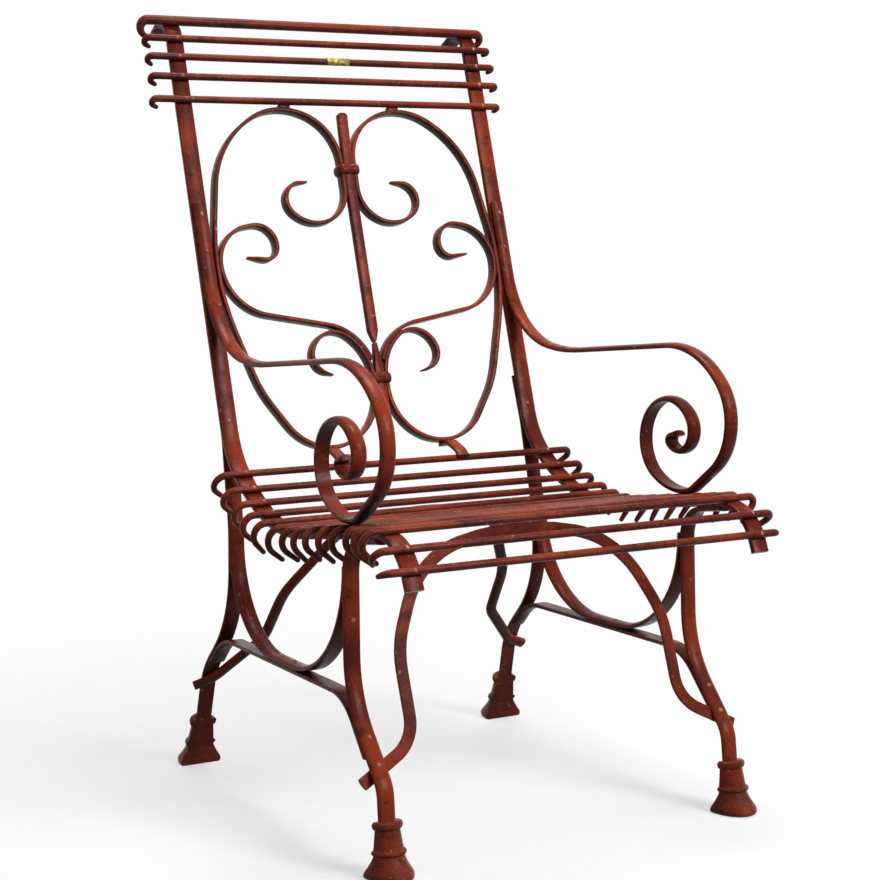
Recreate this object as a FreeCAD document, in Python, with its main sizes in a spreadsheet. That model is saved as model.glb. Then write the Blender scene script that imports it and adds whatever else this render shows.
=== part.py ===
import FreeCAD, Part
import math
import os
import Sketcher
from FreeCAD import Matrix, Placement, Rotation, Vector

# Garden armchair of riveted wrought bar and rod, standing on four cast hoof feet.
# X runs across the chair, the sitter looks along -Y, and Z is up. Lengths are in mm.
# Each side frame is drawn in its own leaning plane, with Y across the sketch and Z up it.
# A bar's path is the smith's bending drawing: straight runs with a tangent bend at each corner.

SIZES = {
    # planes of the side bars: half width on the floor, toe-in to the back and lean-in upwards,
    # the legs' and braces' planes spread out from the rails'
    "rail_half_width": 224.5,
    "rail_toe": 1.12,
    "rail_lean": -0.35,
    "front_leg_spread": 13.0,
    "front_leg_toe": 0.0,
    "front_leg_lean": 0.63,
    "rear_leg_spread": 11.0,
    "rear_leg_toe": 0.0,
    "rear_leg_lean": 1.64,
    "brace_spread": 12.0,
    "brace_toe": 0.94,
    "brace_lean": 1.15,
    # stile and seat rail, one flat bar from the rolled top to the front nose of the seat
    "rail_width": 22.0,
    "rail_thickness": 7.0,
    "stile_rake": 17.3,
    "stile_run": 558.4,
    "roll_radius": 30.0,
    "roll_turn": 103.0,
    "roll_tail": 20.0,
    "back_corner_y": 175.5,
    "back_corner_z": 417.0,
    "back_corner_radius": 109.0,
    "seat_dip_y": 54.5,
    "seat_dip_z": 334.5,
    "seat_dip_radius": 249.0,
    "seat_front_y": -284.0,
    "seat_front_z": 383.0,
    "seat_front_radius": 59.0,
    "nose_y": -308.0,
    "nose_z": 326.0,
    # legs and side braces, half-round bar whose flats lie on each other
    "leg_width": 21.0,
    "leg_thickness": 7.0,
    "leg_end_height": 14.0,
    "front_lap_start": 44.0,
    "front_lap_end": 121.0,
    "front_lap_radius": 40.0,
    "front_knee_y": -170.0,
    "front_knee_z": 184.0,
    "front_knee_radius": 129.0,
    "front_ankle_y": -248.0,
    "front_ankle_z": 98.0,
    "front_ankle_radius": 40.0,
    "front_foot_y": -257.0,
    "rear_lap_top": 88.4,
    "rear_lap_bottom": 26.4,
    "rear_lap_radius": 120.0,
    "rear_waist_y": 167.0,
    "rear_waist_z": 330.0,
    "rear_waist_radius": 150.0,
    "rear_knee_y": 163.0,
    "rear_knee_z": 215.0,
    "rear_knee_radius": 140.0,
    "rear_ankle_y": 246.0,
    "rear_ankle_z": 133.0,
    "rear_ankle_radius": 100.0,
    "rear_foot_y": 277.0,
    "brace_height": 190.0,
    "brace_radius": 95.0,
    "brace_lap_top": 330.0,
    "stretcher_radius": 70.0,
    "stretcher_front_lap": 75.0,
    "stretcher_rear_lap": 88.0,
    # armrests, thinner half-round bar from the stile round to the scroll on the seat
    "arm_width": 19.0,
    "arm_thickness": 7.0,
    "arm_lap_top": 333.4,
    "arm_root": 145.4,
    "arm_root_radius": 140.0,
    "arm_hollow_y": 95.0,
    "arm_hollow_z": 540.0,
    "arm_hollow_radius": 300.0,
    "arm_crest_y": -190.0,
    "arm_crest_z": 565.0,
    "arm_crest_radius": 123.0,
    "arm_front_y": -289.0,
    "arm_front_z": 463.0,
    "arm_front_radius": 71.0,
    "arm_landing_radius": 40.0,
    "scroll_lead": 13.0,
    "scroll_first_radius": 96.0,
    "scroll_outer_radius": 53.0,
    "scroll_inner_radius": 35.0,
    "scroll_core_radius": 31.0,
    "scroll_eye_radius": 7.0,
    "scroll_tail": 37.0,
    # hooked rods of the seat and back, reaching so far beyond the rails' half width, each hook an
    # arc of so many degrees and a straight tail
    "rod_tip_diameter": 4.0,
    "seat_rod_diameter": 9.0,
    "seat_hook_wrap": 130.0,
    "seat_hook_tail": 21.0,
    "left_seat_overhang": 43.5,
    "left_seat_hook_radius": 12.0,
    "right_seat_overhang": 43.5,
    "right_seat_hook_radius": 7.5,
    "back_rod_diameter": 9.5,
    "back_hook_wrap": 155.0,
    "back_hook_tail": 8.0,
    "left_back_overhang": 47.5,
    "left_back_hook_radius": 6.0,
    "right_back_overhang": 31.5,
    "right_back_hook_radius": 4.0,
    "top_rod_diameter": 13.0,
    "top_hook_wrap": 155.0,
    "top_hook_tail": 4.0,
    "left_top_overhang": 52.2,
    "left_top_hook_radius": 11.0,
    "right_top_overhang": 27.1,
    "right_top_hook_radius": 8.0,
    "nose_rod_start": 20.0,
    "nose_rod_pitch": 23.5,
    "seat_rod_start": 77.0,
    "seat_rod_pitch": 31.6,
    "top_rod_turn": 38.0,
    "second_back_rod_drop": 2.3625,
    "third_back_rod_drop": 27.3625,
    "fourth_back_rod_drop": 54.3625,
    "fifth_back_rod_drop": 85.3625,
    # scrolled back panel, strips on edge between the stiles, measured up the rake
    "panel_start_z": 460.0,
    "strip_width": 16.0,
    "strip_thickness": 5.0,
    "centre_gap": 14.0,
    "centre_bar_depth": 9.0,
    "centre_bar_top": 415.0,
    "centre_bar_joint": 96.5,
    "centre_bar_bottom": -58.0,
    "centre_bar_joint_point": 16.0,
    "centre_bar_top_point": 9.0,
    "centre_bar_foot_point": 12.0,
    "collar_height": 15.0,
    "collar_wall": 3.5,
    "collar_rim": 1.6,
    "collar_corner": 5.0,
    "upper_collar_rise": 335.0,
    "lower_collar_rise": 47.0,
    "strap_x": 88.0,
    "strap_root": 8.0,
    "strap_reach": 12.0,
    "strap_toe": 8.0,
    "strap_heel": 5.0,
    "strap_radius": 8.0,
    # arched braces between the legs
    "arch_width": 12.5,
    "arch_thickness": 7.0,
    "arch_crown_radius": 380.0,
    "palm_length": 44.0,
    "palm_height": 15.0,
    "palm_thickness": 5.6,
    "palm_overhang": 13.0,
    # cast hoof feet
    "hoof_height": 62.0,
    "hoof_heel": 8.0,
    "hoof_waist_width": 36.0,
    "hoof_waist_rise": 23.5,
}

document = FreeCAD.newDocument("garden_armchair")
sheet = document.addObject("Spreadsheet::Sheet", "sizes")
for row, (name, value) in enumerate(SIZES.items(), start=1):
    sheet.set("A%d" % row, name)
    sheet.set("B%d" % row, str(value))
    sheet.setAlias("B%d" % row, name)
document.recompute()


def size(name):
    return float(sheet.get(name))


# Paths


def heading(degrees):
    angle = math.radians(degrees)
    return Vector(math.cos(angle), math.sin(angle), 0)


def left_of(direction):
    return Vector(-direction.y, direction.x, 0)


def unit(start, end):
    return (end - start).normalize()


def beside(start, end, distance, offset):
    """A point this far along the line from start to end, and this far to its left."""
    direction = unit(start, end)
    return start + direction * distance + left_of(direction) * offset


def bend_limits(corners, radii):
    """Length of each corner's tangent, shared out where two bends want more than their run."""
    tangents = [0.0]
    for before, corner, after, radius in zip(corners, corners[1:], corners[2:], radii):
        turn = unit(before, corner).getAngle(unit(corner, after))
        tangents.append(radius * math.tan(turn / 2))
    tangents.append(0.0)
    limited = list(tangents)
    for index in range(len(corners) - 1):
        run = (corners[index + 1] - corners[index]).Length
        wanted = tangents[index] + tangents[index + 1]
        if wanted > run * 0.995:
            share = run * 0.995 / wanted
            limited[index] = min(limited[index], tangents[index] * share)
            limited[index + 1] = min(limited[index + 1], tangents[index + 1] * share)
    return limited


def rounded_path(corners, radii):
    """Straight runs between the corners, with a tangent arc of the given radius at each."""
    tangents = bend_limits(corners, radii)
    curves = []
    here = corners[0]
    for index in range(1, len(corners) - 1):
        corner = corners[index]
        arriving = unit(corners[index - 1], corner)
        leaving = unit(corner, corners[index + 1])
        half_turn = arriving.getAngle(leaving) / 2
        radius = tangents[index] / math.tan(half_turn)
        first = corner - arriving * tangents[index]
        last = corner + leaving * tangents[index]
        inward = (leaving - arriving).normalize()
        middle = corner + inward * (radius / math.cos(half_turn) - radius)
        if (first - here).Length > 0.01:
            curves.append(Part.LineSegment(here, first))
        curves.append(Part.Arc(first, middle, last))
        here = last
    if (corners[-1] - here).Length > 0.01:
        curves.append(Part.LineSegment(here, corners[-1]))
    return curves


def curl_path(start, direction, arcs, tail, flats=0):
    """Arcs of (radius, turn in degrees) that follow on tangent to each other, then a straight tail.
    With flats, an arc is a run of chords that turn by no more than so many degrees each."""
    curves = []
    for radius, turn in arcs:
        side = left_of(direction) * math.copysign(radius, turn)
        centre = start + side
        spoke = start - centre
        steps = math.ceil(abs(turn) / flats) if flats else 1
        for step in range(1, steps + 1):
            middle = centre + Rotation(Vector(0, 0, 1), turn * (step - 0.5) / steps).multVec(spoke)
            end = centre + Rotation(Vector(0, 0, 1), turn * step / steps).multVec(spoke)
            curves.append(Part.LineSegment(start, end) if flats else Part.Arc(start, middle, end))
            start = end
        direction = Rotation(Vector(0, 0, 1), turn).multVec(direction)
    if tail > 0:
        curves.append(Part.LineSegment(start, start + direction * tail))
    return curves


def reversed_path(curves):
    turned = []
    for curve in reversed(curves):
        middle = curve.value((curve.FirstParameter + curve.LastParameter) / 2)
        if isinstance(curve, Part.LineSegment):
            turned.append(Part.LineSegment(curve.EndPoint, curve.StartPoint))
        else:
            turned.append(Part.Arc(curve.EndPoint, middle, curve.StartPoint))
    return turned


def path_length(curves):
    return sum(curve.toShape().Length for curve in curves)


def station(curves, distance):
    """Point and heading at this distance along the path."""
    for curve in curves:
        edge = curve.toShape()
        if distance <= edge.Length or curve is curves[-1]:
            parameter = edge.getParameterByLength(min(distance, edge.Length))
            return edge.valueAt(parameter), edge.tangentAt(parameter)
        distance -= edge.Length


# Bodies


def origin_plane(body, role):
    return [feature for feature in body.Origin.OriginFeatures if feature.Role == role][0]


def new_sketch(body, name, offset=None):
    sketch = body.newObject("Sketcher::SketchObject", name)
    sketch.AttachmentSupport = (origin_plane(body, "XY_Plane"), [""])
    sketch.MapMode = "FlatFace"
    if offset is not None:
        sketch.AttachmentOffset = offset
    return sketch


def frame(origin, x_axis, y_axis):
    z_axis = x_axis.cross(y_axis)
    return Placement(Matrix(
        x_axis.x, y_axis.x, z_axis.x, origin.x,
        x_axis.y, y_axis.y, z_axis.y, origin.y,
        x_axis.z, y_axis.z, z_axis.z, origin.z,
        0, 0, 0, 1))


def closed_polygon(sketch, points):
    count = len(points)
    lines = [Part.LineSegment(points[i], points[(i + 1) % count]) for i in range(count)]
    sketch.addGeometry(lines, False)
    for i in range(count):
        sketch.addConstraint(Sketcher.Constraint("Coincident", i, 2, (i + 1) % count, 1))


def dimension(sketch, kind, places, value, name, expression):
    """A named driving dimension of a sketch, bound to the sheet."""
    index = sketch.addConstraint(Sketcher.Constraint(kind, *places, value))
    sketch.renameConstraint(index, name)
    sketch.setExpression("Constraints." + name, expression)


def flat_section(sketch, width, thickness):
    """Rectangle about the path, its thickness in the plane of the path."""
    half_w = size(width) / 2
    half_t = size(thickness) / 2
    closed_polygon(sketch, [Vector(-half_t, -half_w, 0), Vector(half_t, -half_w, 0),
                            Vector(half_t, half_w, 0), Vector(-half_t, half_w, 0)])
    sketch.addConstraint(Sketcher.Constraint("Horizontal", 0))
    sketch.addConstraint(Sketcher.Constraint("Horizontal", 2))
    sketch.addConstraint(Sketcher.Constraint("Vertical", 1))
    sketch.addConstraint(Sketcher.Constraint("Vertical", 3))
    sketch.addConstraint(Sketcher.Constraint("Symmetric", 0, 1, 1, 2, -1, 1))
    dimension(sketch, "DistanceX", (0, 1, 0, 2), 2 * half_t, "thickness", "sizes." + thickness)
    dimension(sketch, "DistanceY", (1, 1, 1, 2), 2 * half_w, "width", "sizes." + width)


CROWN_SHARE = 0.45


def crowned_section(sketch, width, thickness):
    """Half-round bar: a flat back and a crown of three facets, its thickness about the path."""
    w = size(width)
    t = size(thickness)
    ridge = w * CROWN_SHARE
    closed_polygon(sketch, [Vector(-t / 2, w / 2, 0), Vector(-t / 2, -w / 2, 0),
                            Vector(t / 2, -ridge / 2, 0), Vector(t / 2, ridge / 2, 0)])
    sketch.addConstraint(Sketcher.Constraint("Symmetric", 0, 1, 0, 2, -1))
    sketch.addConstraint(Sketcher.Constraint("Symmetric", 1, 2, 2, 2, -1))
    dimension(sketch, "DistanceX", (-1, 1, 1, 2), t / 2, "crown", "sizes.%s / 2" % thickness)
    dimension(sketch, "DistanceX", (0, 1, 2, 2), t, "thickness", "sizes." + thickness)
    dimension(sketch, "DistanceY", (0, 2, 0, 1), w, "width", "sizes." + width)
    dimension(sketch, "DistanceY", (1, 2, 2, 2), ridge, "ridge", "sizes.%s * %g" % (width, CROWN_SHARE))


def bent_bar(label, curves, section, width, thickness, crown=1, edgewise=False):
    """A section swept along a path. Its crown is to the left of the path where crown is 1,
    or, on a bar bent edgewise, to the front of the path's plane."""
    body = document.addObject("PartDesign::Body", label)
    body.Label = label
    path = new_sketch(body, label + "_path")
    path.addGeometry(curves, False)
    start, direction = station(curves, 0)
    facing = Vector(0, 0, crown) if edgewise else left_of(direction) * crown
    profile = new_sketch(body, label + "_section", frame(start, facing, direction.cross(facing)))
    section(profile, width, thickness)
    sweep = body.newObject("PartDesign::AdditivePipe", label + "_sweep")
    sweep.Profile = profile
    sweep.Spine = (path, ["Edge%d" % (i + 1) for i in range(len(curves))])
    sweep.Mode = "Binormal"
    sweep.Binormal = Vector(0, 0, 1)
    sweep.Transition = "Right corner"
    return body


def faceted_skin(rings):
    """Solid with a facet between every two neighbours of the rings, and a flat face at each end."""
    count = len(rings[0])
    faces = [Part.Face(Part.makePolygon(ring + [ring[0]])) for ring in (rings[0], rings[-1])]
    for near, far in zip(rings, rings[1:]):
        for i in range(count):
            j = (i + 1) % count
            for corners in ((near[i], near[j], far[j]), (near[i], far[j], far[i])):
                faces.append(Part.Face(Part.makePolygon(list(corners) + [corners[0]])))
    solid = Part.makeSolid(Part.makeShell(faces))
    if solid.Volume < 0:
        solid.reverse()
    return solid


# Side frames: both sides are the same bars, each in an upright plane with some toe-in and lean


def half_width(bars):
    """Half width on the floor of the plane that these bars stand in."""
    spread = 0 if bars == "rail" else size(bars + "_spread")
    return size("rail_half_width") + spread


def slope(name):
    return math.tan(math.radians(size(name)))


def side_frame(side, bars):
    """Placement of the plane of these bars on the right (1) or left (-1) side."""
    across = Vector(-side * slope(bars + "_toe"), 1, 0).normalize()
    up = Vector(-side * slope(bars + "_lean"), 0, 1)
    up = (up - across * up.dot(across)).normalize()
    return frame(Vector(side * half_width(bars), 0, 0), across, up)


def side_x(bars, y, z):
    """How far out the plane of these bars is at this place."""
    return half_width(bars) - slope(bars + "_toe") * y - slope(bars + "_lean") * z


SIDES = (("left", -1), ("right", 1))
RAIL_T = size("rail_thickness")
LEG_T = size("leg_thickness")
LEG_STEP = (RAIL_T + LEG_T) / 2
sub_parts = []


def place(sub_part, placement):
    sub_part.Placement = placement
    sub_parts.append(sub_part)


# Stile and seat rail

rake_up = heading(90 - size("stile_rake"))
roll_out = heading(90 - size("stile_rake") - size("roll_turn"))
roll_tangent = size("roll_radius") * math.tan(math.radians(size("roll_turn")) / 2)
back_corner = Vector(size("back_corner_y"), size("back_corner_z"), 0)
roll_corner = back_corner + rake_up * (size("stile_run") + roll_tangent)
stile_tip = roll_corner + roll_out * (roll_tangent + size("roll_tail"))
seat_dip = Vector(size("seat_dip_y"), size("seat_dip_z"), 0)
seat_front = Vector(size("seat_front_y"), size("seat_front_z"), 0)
nose = Vector(size("nose_y"), size("nose_z"), 0)
rail_path = rounded_path(
    [stile_tip, roll_corner, back_corner, seat_dip, seat_front, nose],
    [size("roll_radius"), size("back_corner_radius"), size("seat_dip_radius"),
     size("seat_front_radius")])
for side_name, side in SIDES:
    rail = bent_bar("stile_rail_" + side_name, rail_path, flat_section, "rail_width", "rail_thickness")
    place(rail, side_frame(side, "rail"))

# Front legs: lapped under the seat rail, crown to the front

front_lap_start = beside(seat_front, seat_dip, size("front_lap_start"), -LEG_STEP)
front_lap_end = beside(seat_front, seat_dip, size("front_lap_end"), -LEG_STEP)
front_knee = Vector(size("front_knee_y"), size("front_knee_z"), 0)
front_ankle = Vector(size("front_ankle_y"), size("front_ankle_z"), 0)
front_foot = Vector(size("front_foot_y"), size("leg_end_height"), 0)
front_leg_path = rounded_path(
    [front_lap_start, front_lap_end, front_knee, front_ankle, front_foot],
    [size("front_lap_radius"), size("front_knee_radius"), size("front_ankle_radius")])

# Rear legs: lapped on the back of the stile, crown to the back

rear_lap_top = beside(back_corner, roll_corner, size("rear_lap_top"), -LEG_STEP)
rear_lap_bottom = beside(back_corner, roll_corner, size("rear_lap_bottom"), -LEG_STEP)
rear_waist = Vector(size("rear_waist_y"), size("rear_waist_z"), 0)
rear_knee = Vector(size("rear_knee_y"), size("rear_knee_z"), 0)
rear_ankle = Vector(size("rear_ankle_y"), size("rear_ankle_z"), 0)
rear_foot = Vector(size("rear_foot_y"), size("leg_end_height"), 0)
rear_leg_path = rounded_path(
    [rear_lap_top, rear_lap_bottom, rear_waist, rear_knee, rear_ankle, rear_foot],
    [size("rear_lap_radius"), size("rear_waist_radius"), size("rear_knee_radius"),
     size("rear_ankle_radius")])

# Side U-brace: its arms lie on the legs' inner flats and its bottom on the stretcher


def meet_height(start, end, offset, z):
    """Point at height z on the line beside the line from start to end."""
    first = beside(start, end, 0, offset)
    direction = unit(start, end)
    return first + direction * ((z - first.y) / direction.y)


brace_rear_top = meet_height(rear_waist, rear_knee, -LEG_T, size("brace_lap_top"))
brace_rear_corner = meet_height(rear_waist, rear_knee, -LEG_T, size("brace_height"))
brace_front_corner = meet_height(front_lap_end, front_knee, LEG_T, size("brace_height"))
brace_front_top = meet_height(front_lap_end, front_knee, LEG_T, size("brace_lap_top"))
brace_path = rounded_path(
    [brace_rear_top, brace_rear_corner, brace_front_corner, brace_front_top],
    [size("brace_radius"), size("brace_radius")])

# Side stretcher: under the U-brace, its ends laid along the lower runs of both legs

stretcher_height = size("brace_height") - LEG_T
stretcher_rear_corner = meet_height(rear_knee, rear_ankle, -LEG_T, stretcher_height)
stretcher_front_corner = meet_height(front_knee, front_ankle, LEG_T, stretcher_height)
stretcher_rear_end = beside(rear_knee, rear_ankle, size("stretcher_rear_lap"), -LEG_T)
stretcher_front_end = beside(front_knee, front_ankle, size("stretcher_front_lap"), LEG_T)
stretcher_path = rounded_path(
    [stretcher_rear_end, stretcher_rear_corner, stretcher_front_corner, stretcher_front_end],
    [size("stretcher_radius"), size("stretcher_radius")])

for side_name, side in SIDES:
    leg_bars = (("front_leg_", "front_leg", front_leg_path, -1), ("rear_leg_", "rear_leg", rear_leg_path, 1),
                ("side_u_brace_", "brace", brace_path, -1), ("side_stretcher_", "brace", stretcher_path, 1))
    for bar_name, plane, curves, crown in leg_bars:
        bar = bent_bar(bar_name + side_name, curves, crowned_section, "leg_width", "leg_thickness", crown)
        place(bar, side_frame(side, plane))

# Stations of the rods along the rail, counted from the nose to the back

rail_length = path_length(rail_path)
seat_stations = [size("nose_rod_start"), size("nose_rod_start") + size("nose_rod_pitch")]
seat_stations += [size("seat_rod_start") + index * size("seat_rod_pitch") for index in range(14)]
seat_rod_r = size("seat_rod_diameter") / 2


def on_rail(distance_from_nose):
    """Point on the rail's centreline and the direction towards the back."""
    point, direction = station(rail_path, rail_length - distance_from_nose)
    return point, direction * -1


# Armrests: lapped on the stile's face, over to the front, down onto a seat rod and into a scroll

ARM_T = size("arm_thickness")
ARM_STEP = (RAIL_T + ARM_T) / 2
arm_top = beside(back_corner, roll_corner, size("arm_lap_top"), ARM_STEP)
arm_root = beside(back_corner, roll_corner, size("arm_root"), ARM_STEP)
arm_hollow = Vector(size("arm_hollow_y"), size("arm_hollow_z"), 0)
arm_crest = Vector(size("arm_crest_y"), size("arm_crest_z"), 0)
arm_front = Vector(size("arm_front_y"), size("arm_front_z"), 0)
rest_point, rest_heading = on_rail(seat_stations[5])
rest_rod = rest_point + left_of(rest_heading) * (RAIL_T / 2 + seat_rod_r)
scroll_radius = size("scroll_first_radius")
rod_distance = scroll_radius + ARM_T / 2 + seat_rod_r
scroll_rise = math.sqrt(rod_distance ** 2 - size("scroll_lead") ** 2)
scroll_start = (rest_rod - rest_heading * size("scroll_lead")
                + left_of(rest_heading) * (scroll_rise - scroll_radius))
landing_turn = unit(arm_front, scroll_start).getAngle(rest_heading)
landing_tangent = size("arm_landing_radius") * math.tan(landing_turn / 2)
arm_landing = scroll_start - rest_heading * landing_tangent
arm_path = rounded_path(
    [arm_top, arm_root, arm_hollow, arm_crest, arm_front, arm_landing, scroll_start],
    [size("arm_root_radius"), size("arm_hollow_radius"), size("arm_crest_radius"),
     size("arm_front_radius"), size("arm_landing_radius")])
arm_path += curl_path(
    scroll_start, rest_heading,
    [(scroll_radius, 41), (size("scroll_outer_radius"), 183), (size("scroll_inner_radius"), 71),
     (size("scroll_core_radius"), 127), (size("scroll_eye_radius"), 115)], size("scroll_tail"))
for side_name, side in SIDES:
    arm = bent_bar("armrest_" + side_name, arm_path, crowned_section, "arm_width", "arm_thickness", -1)
    place(arm, side_frame(side, "rail"))

# Hooked rods: straight across the frame, each end curled under and drawn down to a point

ROD_SIDES = 8
HOOK_TURNS = (0, 45, 90)


def rod_ring(centre, direction, radius):
    """Faceted round section, a flat of it towards the bar that the rod lies on."""
    across = left_of(direction)
    corner_radius = radius / math.cos(math.pi / ROD_SIDES)
    points = []
    for index in range(ROD_SIDES):
        angle = (index + 0.5) * 2 * math.pi / ROD_SIDES
        points.append(centre + across * (corner_radius * math.cos(angle))
                      + Vector(0, 0, corner_radius * math.sin(angle)))
    return points


def hook_stations(kind, side_name):
    """Centre, heading and radius of the rod from the end of its straight to the tip of its hook."""
    radius = size(kind + "_rod_diameter") / 2
    tip_radius = size("rod_tip_diameter") / 2
    bend = size("%s_%s_hook_radius" % (side_name, kind))
    wrap = size(kind + "_hook_wrap")
    arc = math.radians(wrap) * bend
    length = arc + size(kind + "_hook_tail")
    reach = size("rail_half_width") + size("%s_%s_overhang" % (side_name, kind))
    straight_end = Vector(reach - bend - radius, 0, 0)
    places = []
    for turn in HOOK_TURNS + (wrap,):
        centre = straight_end + (heading(90 - turn) - heading(90)) * bend
        places.append((centre, heading(-turn), arc * turn / wrap))
    places.append((centre + heading(-wrap) * size(kind + "_hook_tail"), heading(-wrap), length))
    return [(centre, direction, radius + (tip_radius - radius) * (travelled / length) ** 1.5)
            for centre, direction, travelled in places]


def hooked_rod(label, kind, placement):
    """The rod lies along X, and its hooks curl towards -Y and back in."""
    sections = []
    for centre, direction, radius in reversed(hook_stations(kind, "left")):
        mirrored = Vector(-centre.x, centre.y, 0)
        sections.append(rod_ring(mirrored, Vector(direction.x, -direction.y, 0), radius))
    for centre, direction, radius in hook_stations(kind, "right"):
        sections.append(rod_ring(centre, direction, radius))
    rod = document.addObject("Part::Feature", label)
    rod.Label = label
    rod.Shape = faceted_skin(sections)
    place(rod, placement)


for number, distance in enumerate(reversed(seat_stations), start=1):
    point, direction = on_rail(distance)
    outward = left_of(direction)
    centre = point + outward * (RAIL_T / 2 + seat_rod_r)
    across = Vector(1, 0, 0)
    upward = Vector(0, outward.x, outward.y)
    hooked_rod("seat_rod_%d" % number, "seat", frame(Vector(0, centre.x, centre.y), across, upward))

# Back rods: the top one on the shoulder of the roll, the others on the face of the stile

rake = Vector(0, rake_up.x, rake_up.y)
panel_start_y = size("back_corner_y") + (size("panel_start_z") - size("back_corner_z")) * rake_up.x / rake_up.y
panel_origin = Vector(0, panel_start_y, size("panel_start_z"))
panel_front = Vector(1, 0, 0).cross(rake)
back_rod_r = size("back_rod_diameter") / 2
top_rod_r = size("top_rod_diameter") / 2
roll_centre = back_corner + rake_up * size("stile_run") - left_of(rake_up) * size("roll_radius")
stile_end = size("stile_run") - (size("panel_start_z") - size("back_corner_z")) / rake_up.y
top_rod_angle = 180 - size("stile_rake") - size("top_rod_turn")
top_rod = roll_centre + heading(top_rod_angle) * (size("roll_radius") + RAIL_T / 2 + top_rod_r)
hooked_rod("back_rod_1", "top", frame(Vector(0, top_rod.x, top_rod.y), Vector(1, 0, 0), rake))
for number, ordinal in enumerate(("second", "third", "fourth", "fifth"), start=2):
    rise = stile_end - size(ordinal + "_back_rod_drop")
    centre = panel_origin + rake * rise + panel_front * (RAIL_T / 2 + back_rod_r)
    hooked_rod("back_rod_%d" % number, "back", frame(centre, Vector(1, 0, 0), rake))


# Scrolled back panel: strips on edge, drawn with X across and Y up the rake

STRIP_T = size("strip_thickness")
strip_x = size("centre_gap") / 2 + STRIP_T / 2


def stile_edge(rise):
    """Inner edge of the right stile at this height up the rake."""
    on_stile = panel_origin + rake * rise
    return side_x("rail", on_stile.y, on_stile.z) - size("rail_width") / 2


def panel_frame(side):
    across = Vector(side, 0, 0)
    return frame(panel_origin, across, rake)


# An oval runs from its upper curl over the top, down the stile and back under to its lower curl
oval_curl_start = Vector(strip_x, 309, 0)
oval_top = Vector(96, 431, 0)
oval_shoulder = Vector(stile_edge(368) - 25.6240, 368, 0)
oval_side_top = Vector(stile_edge(234) - STRIP_T / 2, 234, 0)
oval_side_bottom = Vector(stile_edge(158) - STRIP_T / 2, 158, 0)
oval_hip = Vector(stile_edge(37) - 38.6178, 37, 0)
oval_foot = Vector(106, -64, 0)
oval_curl_end = Vector(strip_x, 48, 0)
oval_ring = rounded_path(
    [oval_curl_start, Vector(strip_x, 391, 0), oval_top, oval_shoulder, oval_side_top,
     oval_side_bottom, oval_hip, oval_foot, Vector(strip_x, -10, 0), oval_curl_end],
    [90, 109, 151, 300, 300, 153, 88, 92])
UPPER_CURL = ((48, 133), (26, 50), (24, 80))
LOWER_CURL = ((71, -54), (35, -108), (24, -94))
CURL_FLATS = 16
upper_curl = curl_path(oval_curl_start, heading(-90), UPPER_CURL, 14, CURL_FLATS)
lower_curl = curl_path(oval_curl_end, heading(90), LOWER_CURL, 9, CURL_FLATS)
oval_path = reversed_path(upper_curl) + oval_ring + lower_curl

# A heart opens in a hook, turns over at its shoulder, lies along the oval's side and ends on the middle
heart_tip = Vector(stile_edge(216) - 47.6211, 216, 0)
heart_throat = Vector(stile_edge(209) - 90.6210, 209, 0)
heart_shoulder = Vector(stile_edge(263) - 90.6220, 263, 0)
heart_side_top = beside(oval_side_top, oval_side_bottom, -17, -STRIP_T)
heart_side_bottom = beside(oval_side_top, oval_side_bottom, 86, -STRIP_T)
heart_waist = Vector(36, 113, 0)
heart_foot = Vector(10, 84, 0)
heart_path = rounded_path(
    [heart_tip, heart_throat, heart_shoulder, heart_side_top, heart_side_bottom, heart_waist, heart_foot],
    [18, 27, 52, 69, 50])
for side_name, side in SIDES:
    oval = bent_bar("oval_scroll_" + side_name, oval_path, flat_section, "strip_width", "strip_thickness")
    place(oval, panel_frame(side))
    heart = bent_bar("heart_scroll_" + side_name, heart_path, flat_section, "strip_width", "strip_thickness")
    place(heart, panel_frame(side))

# Centre bars of the panel, pointed where they meet, their faces flush with the strips' front edges


def centre_bar(label, top, top_point, bottom, bottom_point):
    """Flat bar up the middle of the panel, each end drawn to a blunt point of the given length."""
    body = document.addObject("PartDesign::Body", label)
    body.Label = label
    half = size("centre_gap") / 2
    blunt = half * BLUNT_SHARE
    back = size("strip_width") / 2 - size("centre_bar_depth")
    outline = new_sketch(body, label + "_outline", Placement(Vector(0, 0, back), Rotation()))
    closed_polygon(outline, [
        Vector(-blunt, bottom, 0), Vector(blunt, bottom, 0), Vector(half, bottom + bottom_point, 0),
        Vector(half, top - top_point, 0), Vector(blunt, top, 0), Vector(-blunt, top, 0),
        Vector(-half, top - top_point, 0), Vector(-half, bottom + bottom_point, 0)])
    pad = body.newObject("PartDesign::Pad", label + "_pad")
    pad.Profile = outline
    pad.setExpression("Length", "sizes.centre_bar_depth")
    place(body, panel_frame(1))


BLUNT_SHARE = 0.3
joint = size("centre_bar_joint")
centre_bar("centre_bar_upper", size("centre_bar_top"), size("centre_bar_top_point"),
           joint, size("centre_bar_joint_point"))
centre_bar("centre_bar_lower", joint, 2.8 * size("centre_bar_joint_point"),
           size("centre_bar_bottom"), size("centre_bar_foot_point"))

# Collars that clip the strips to the centre bars: a band with cut corners, full in the middle


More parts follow.
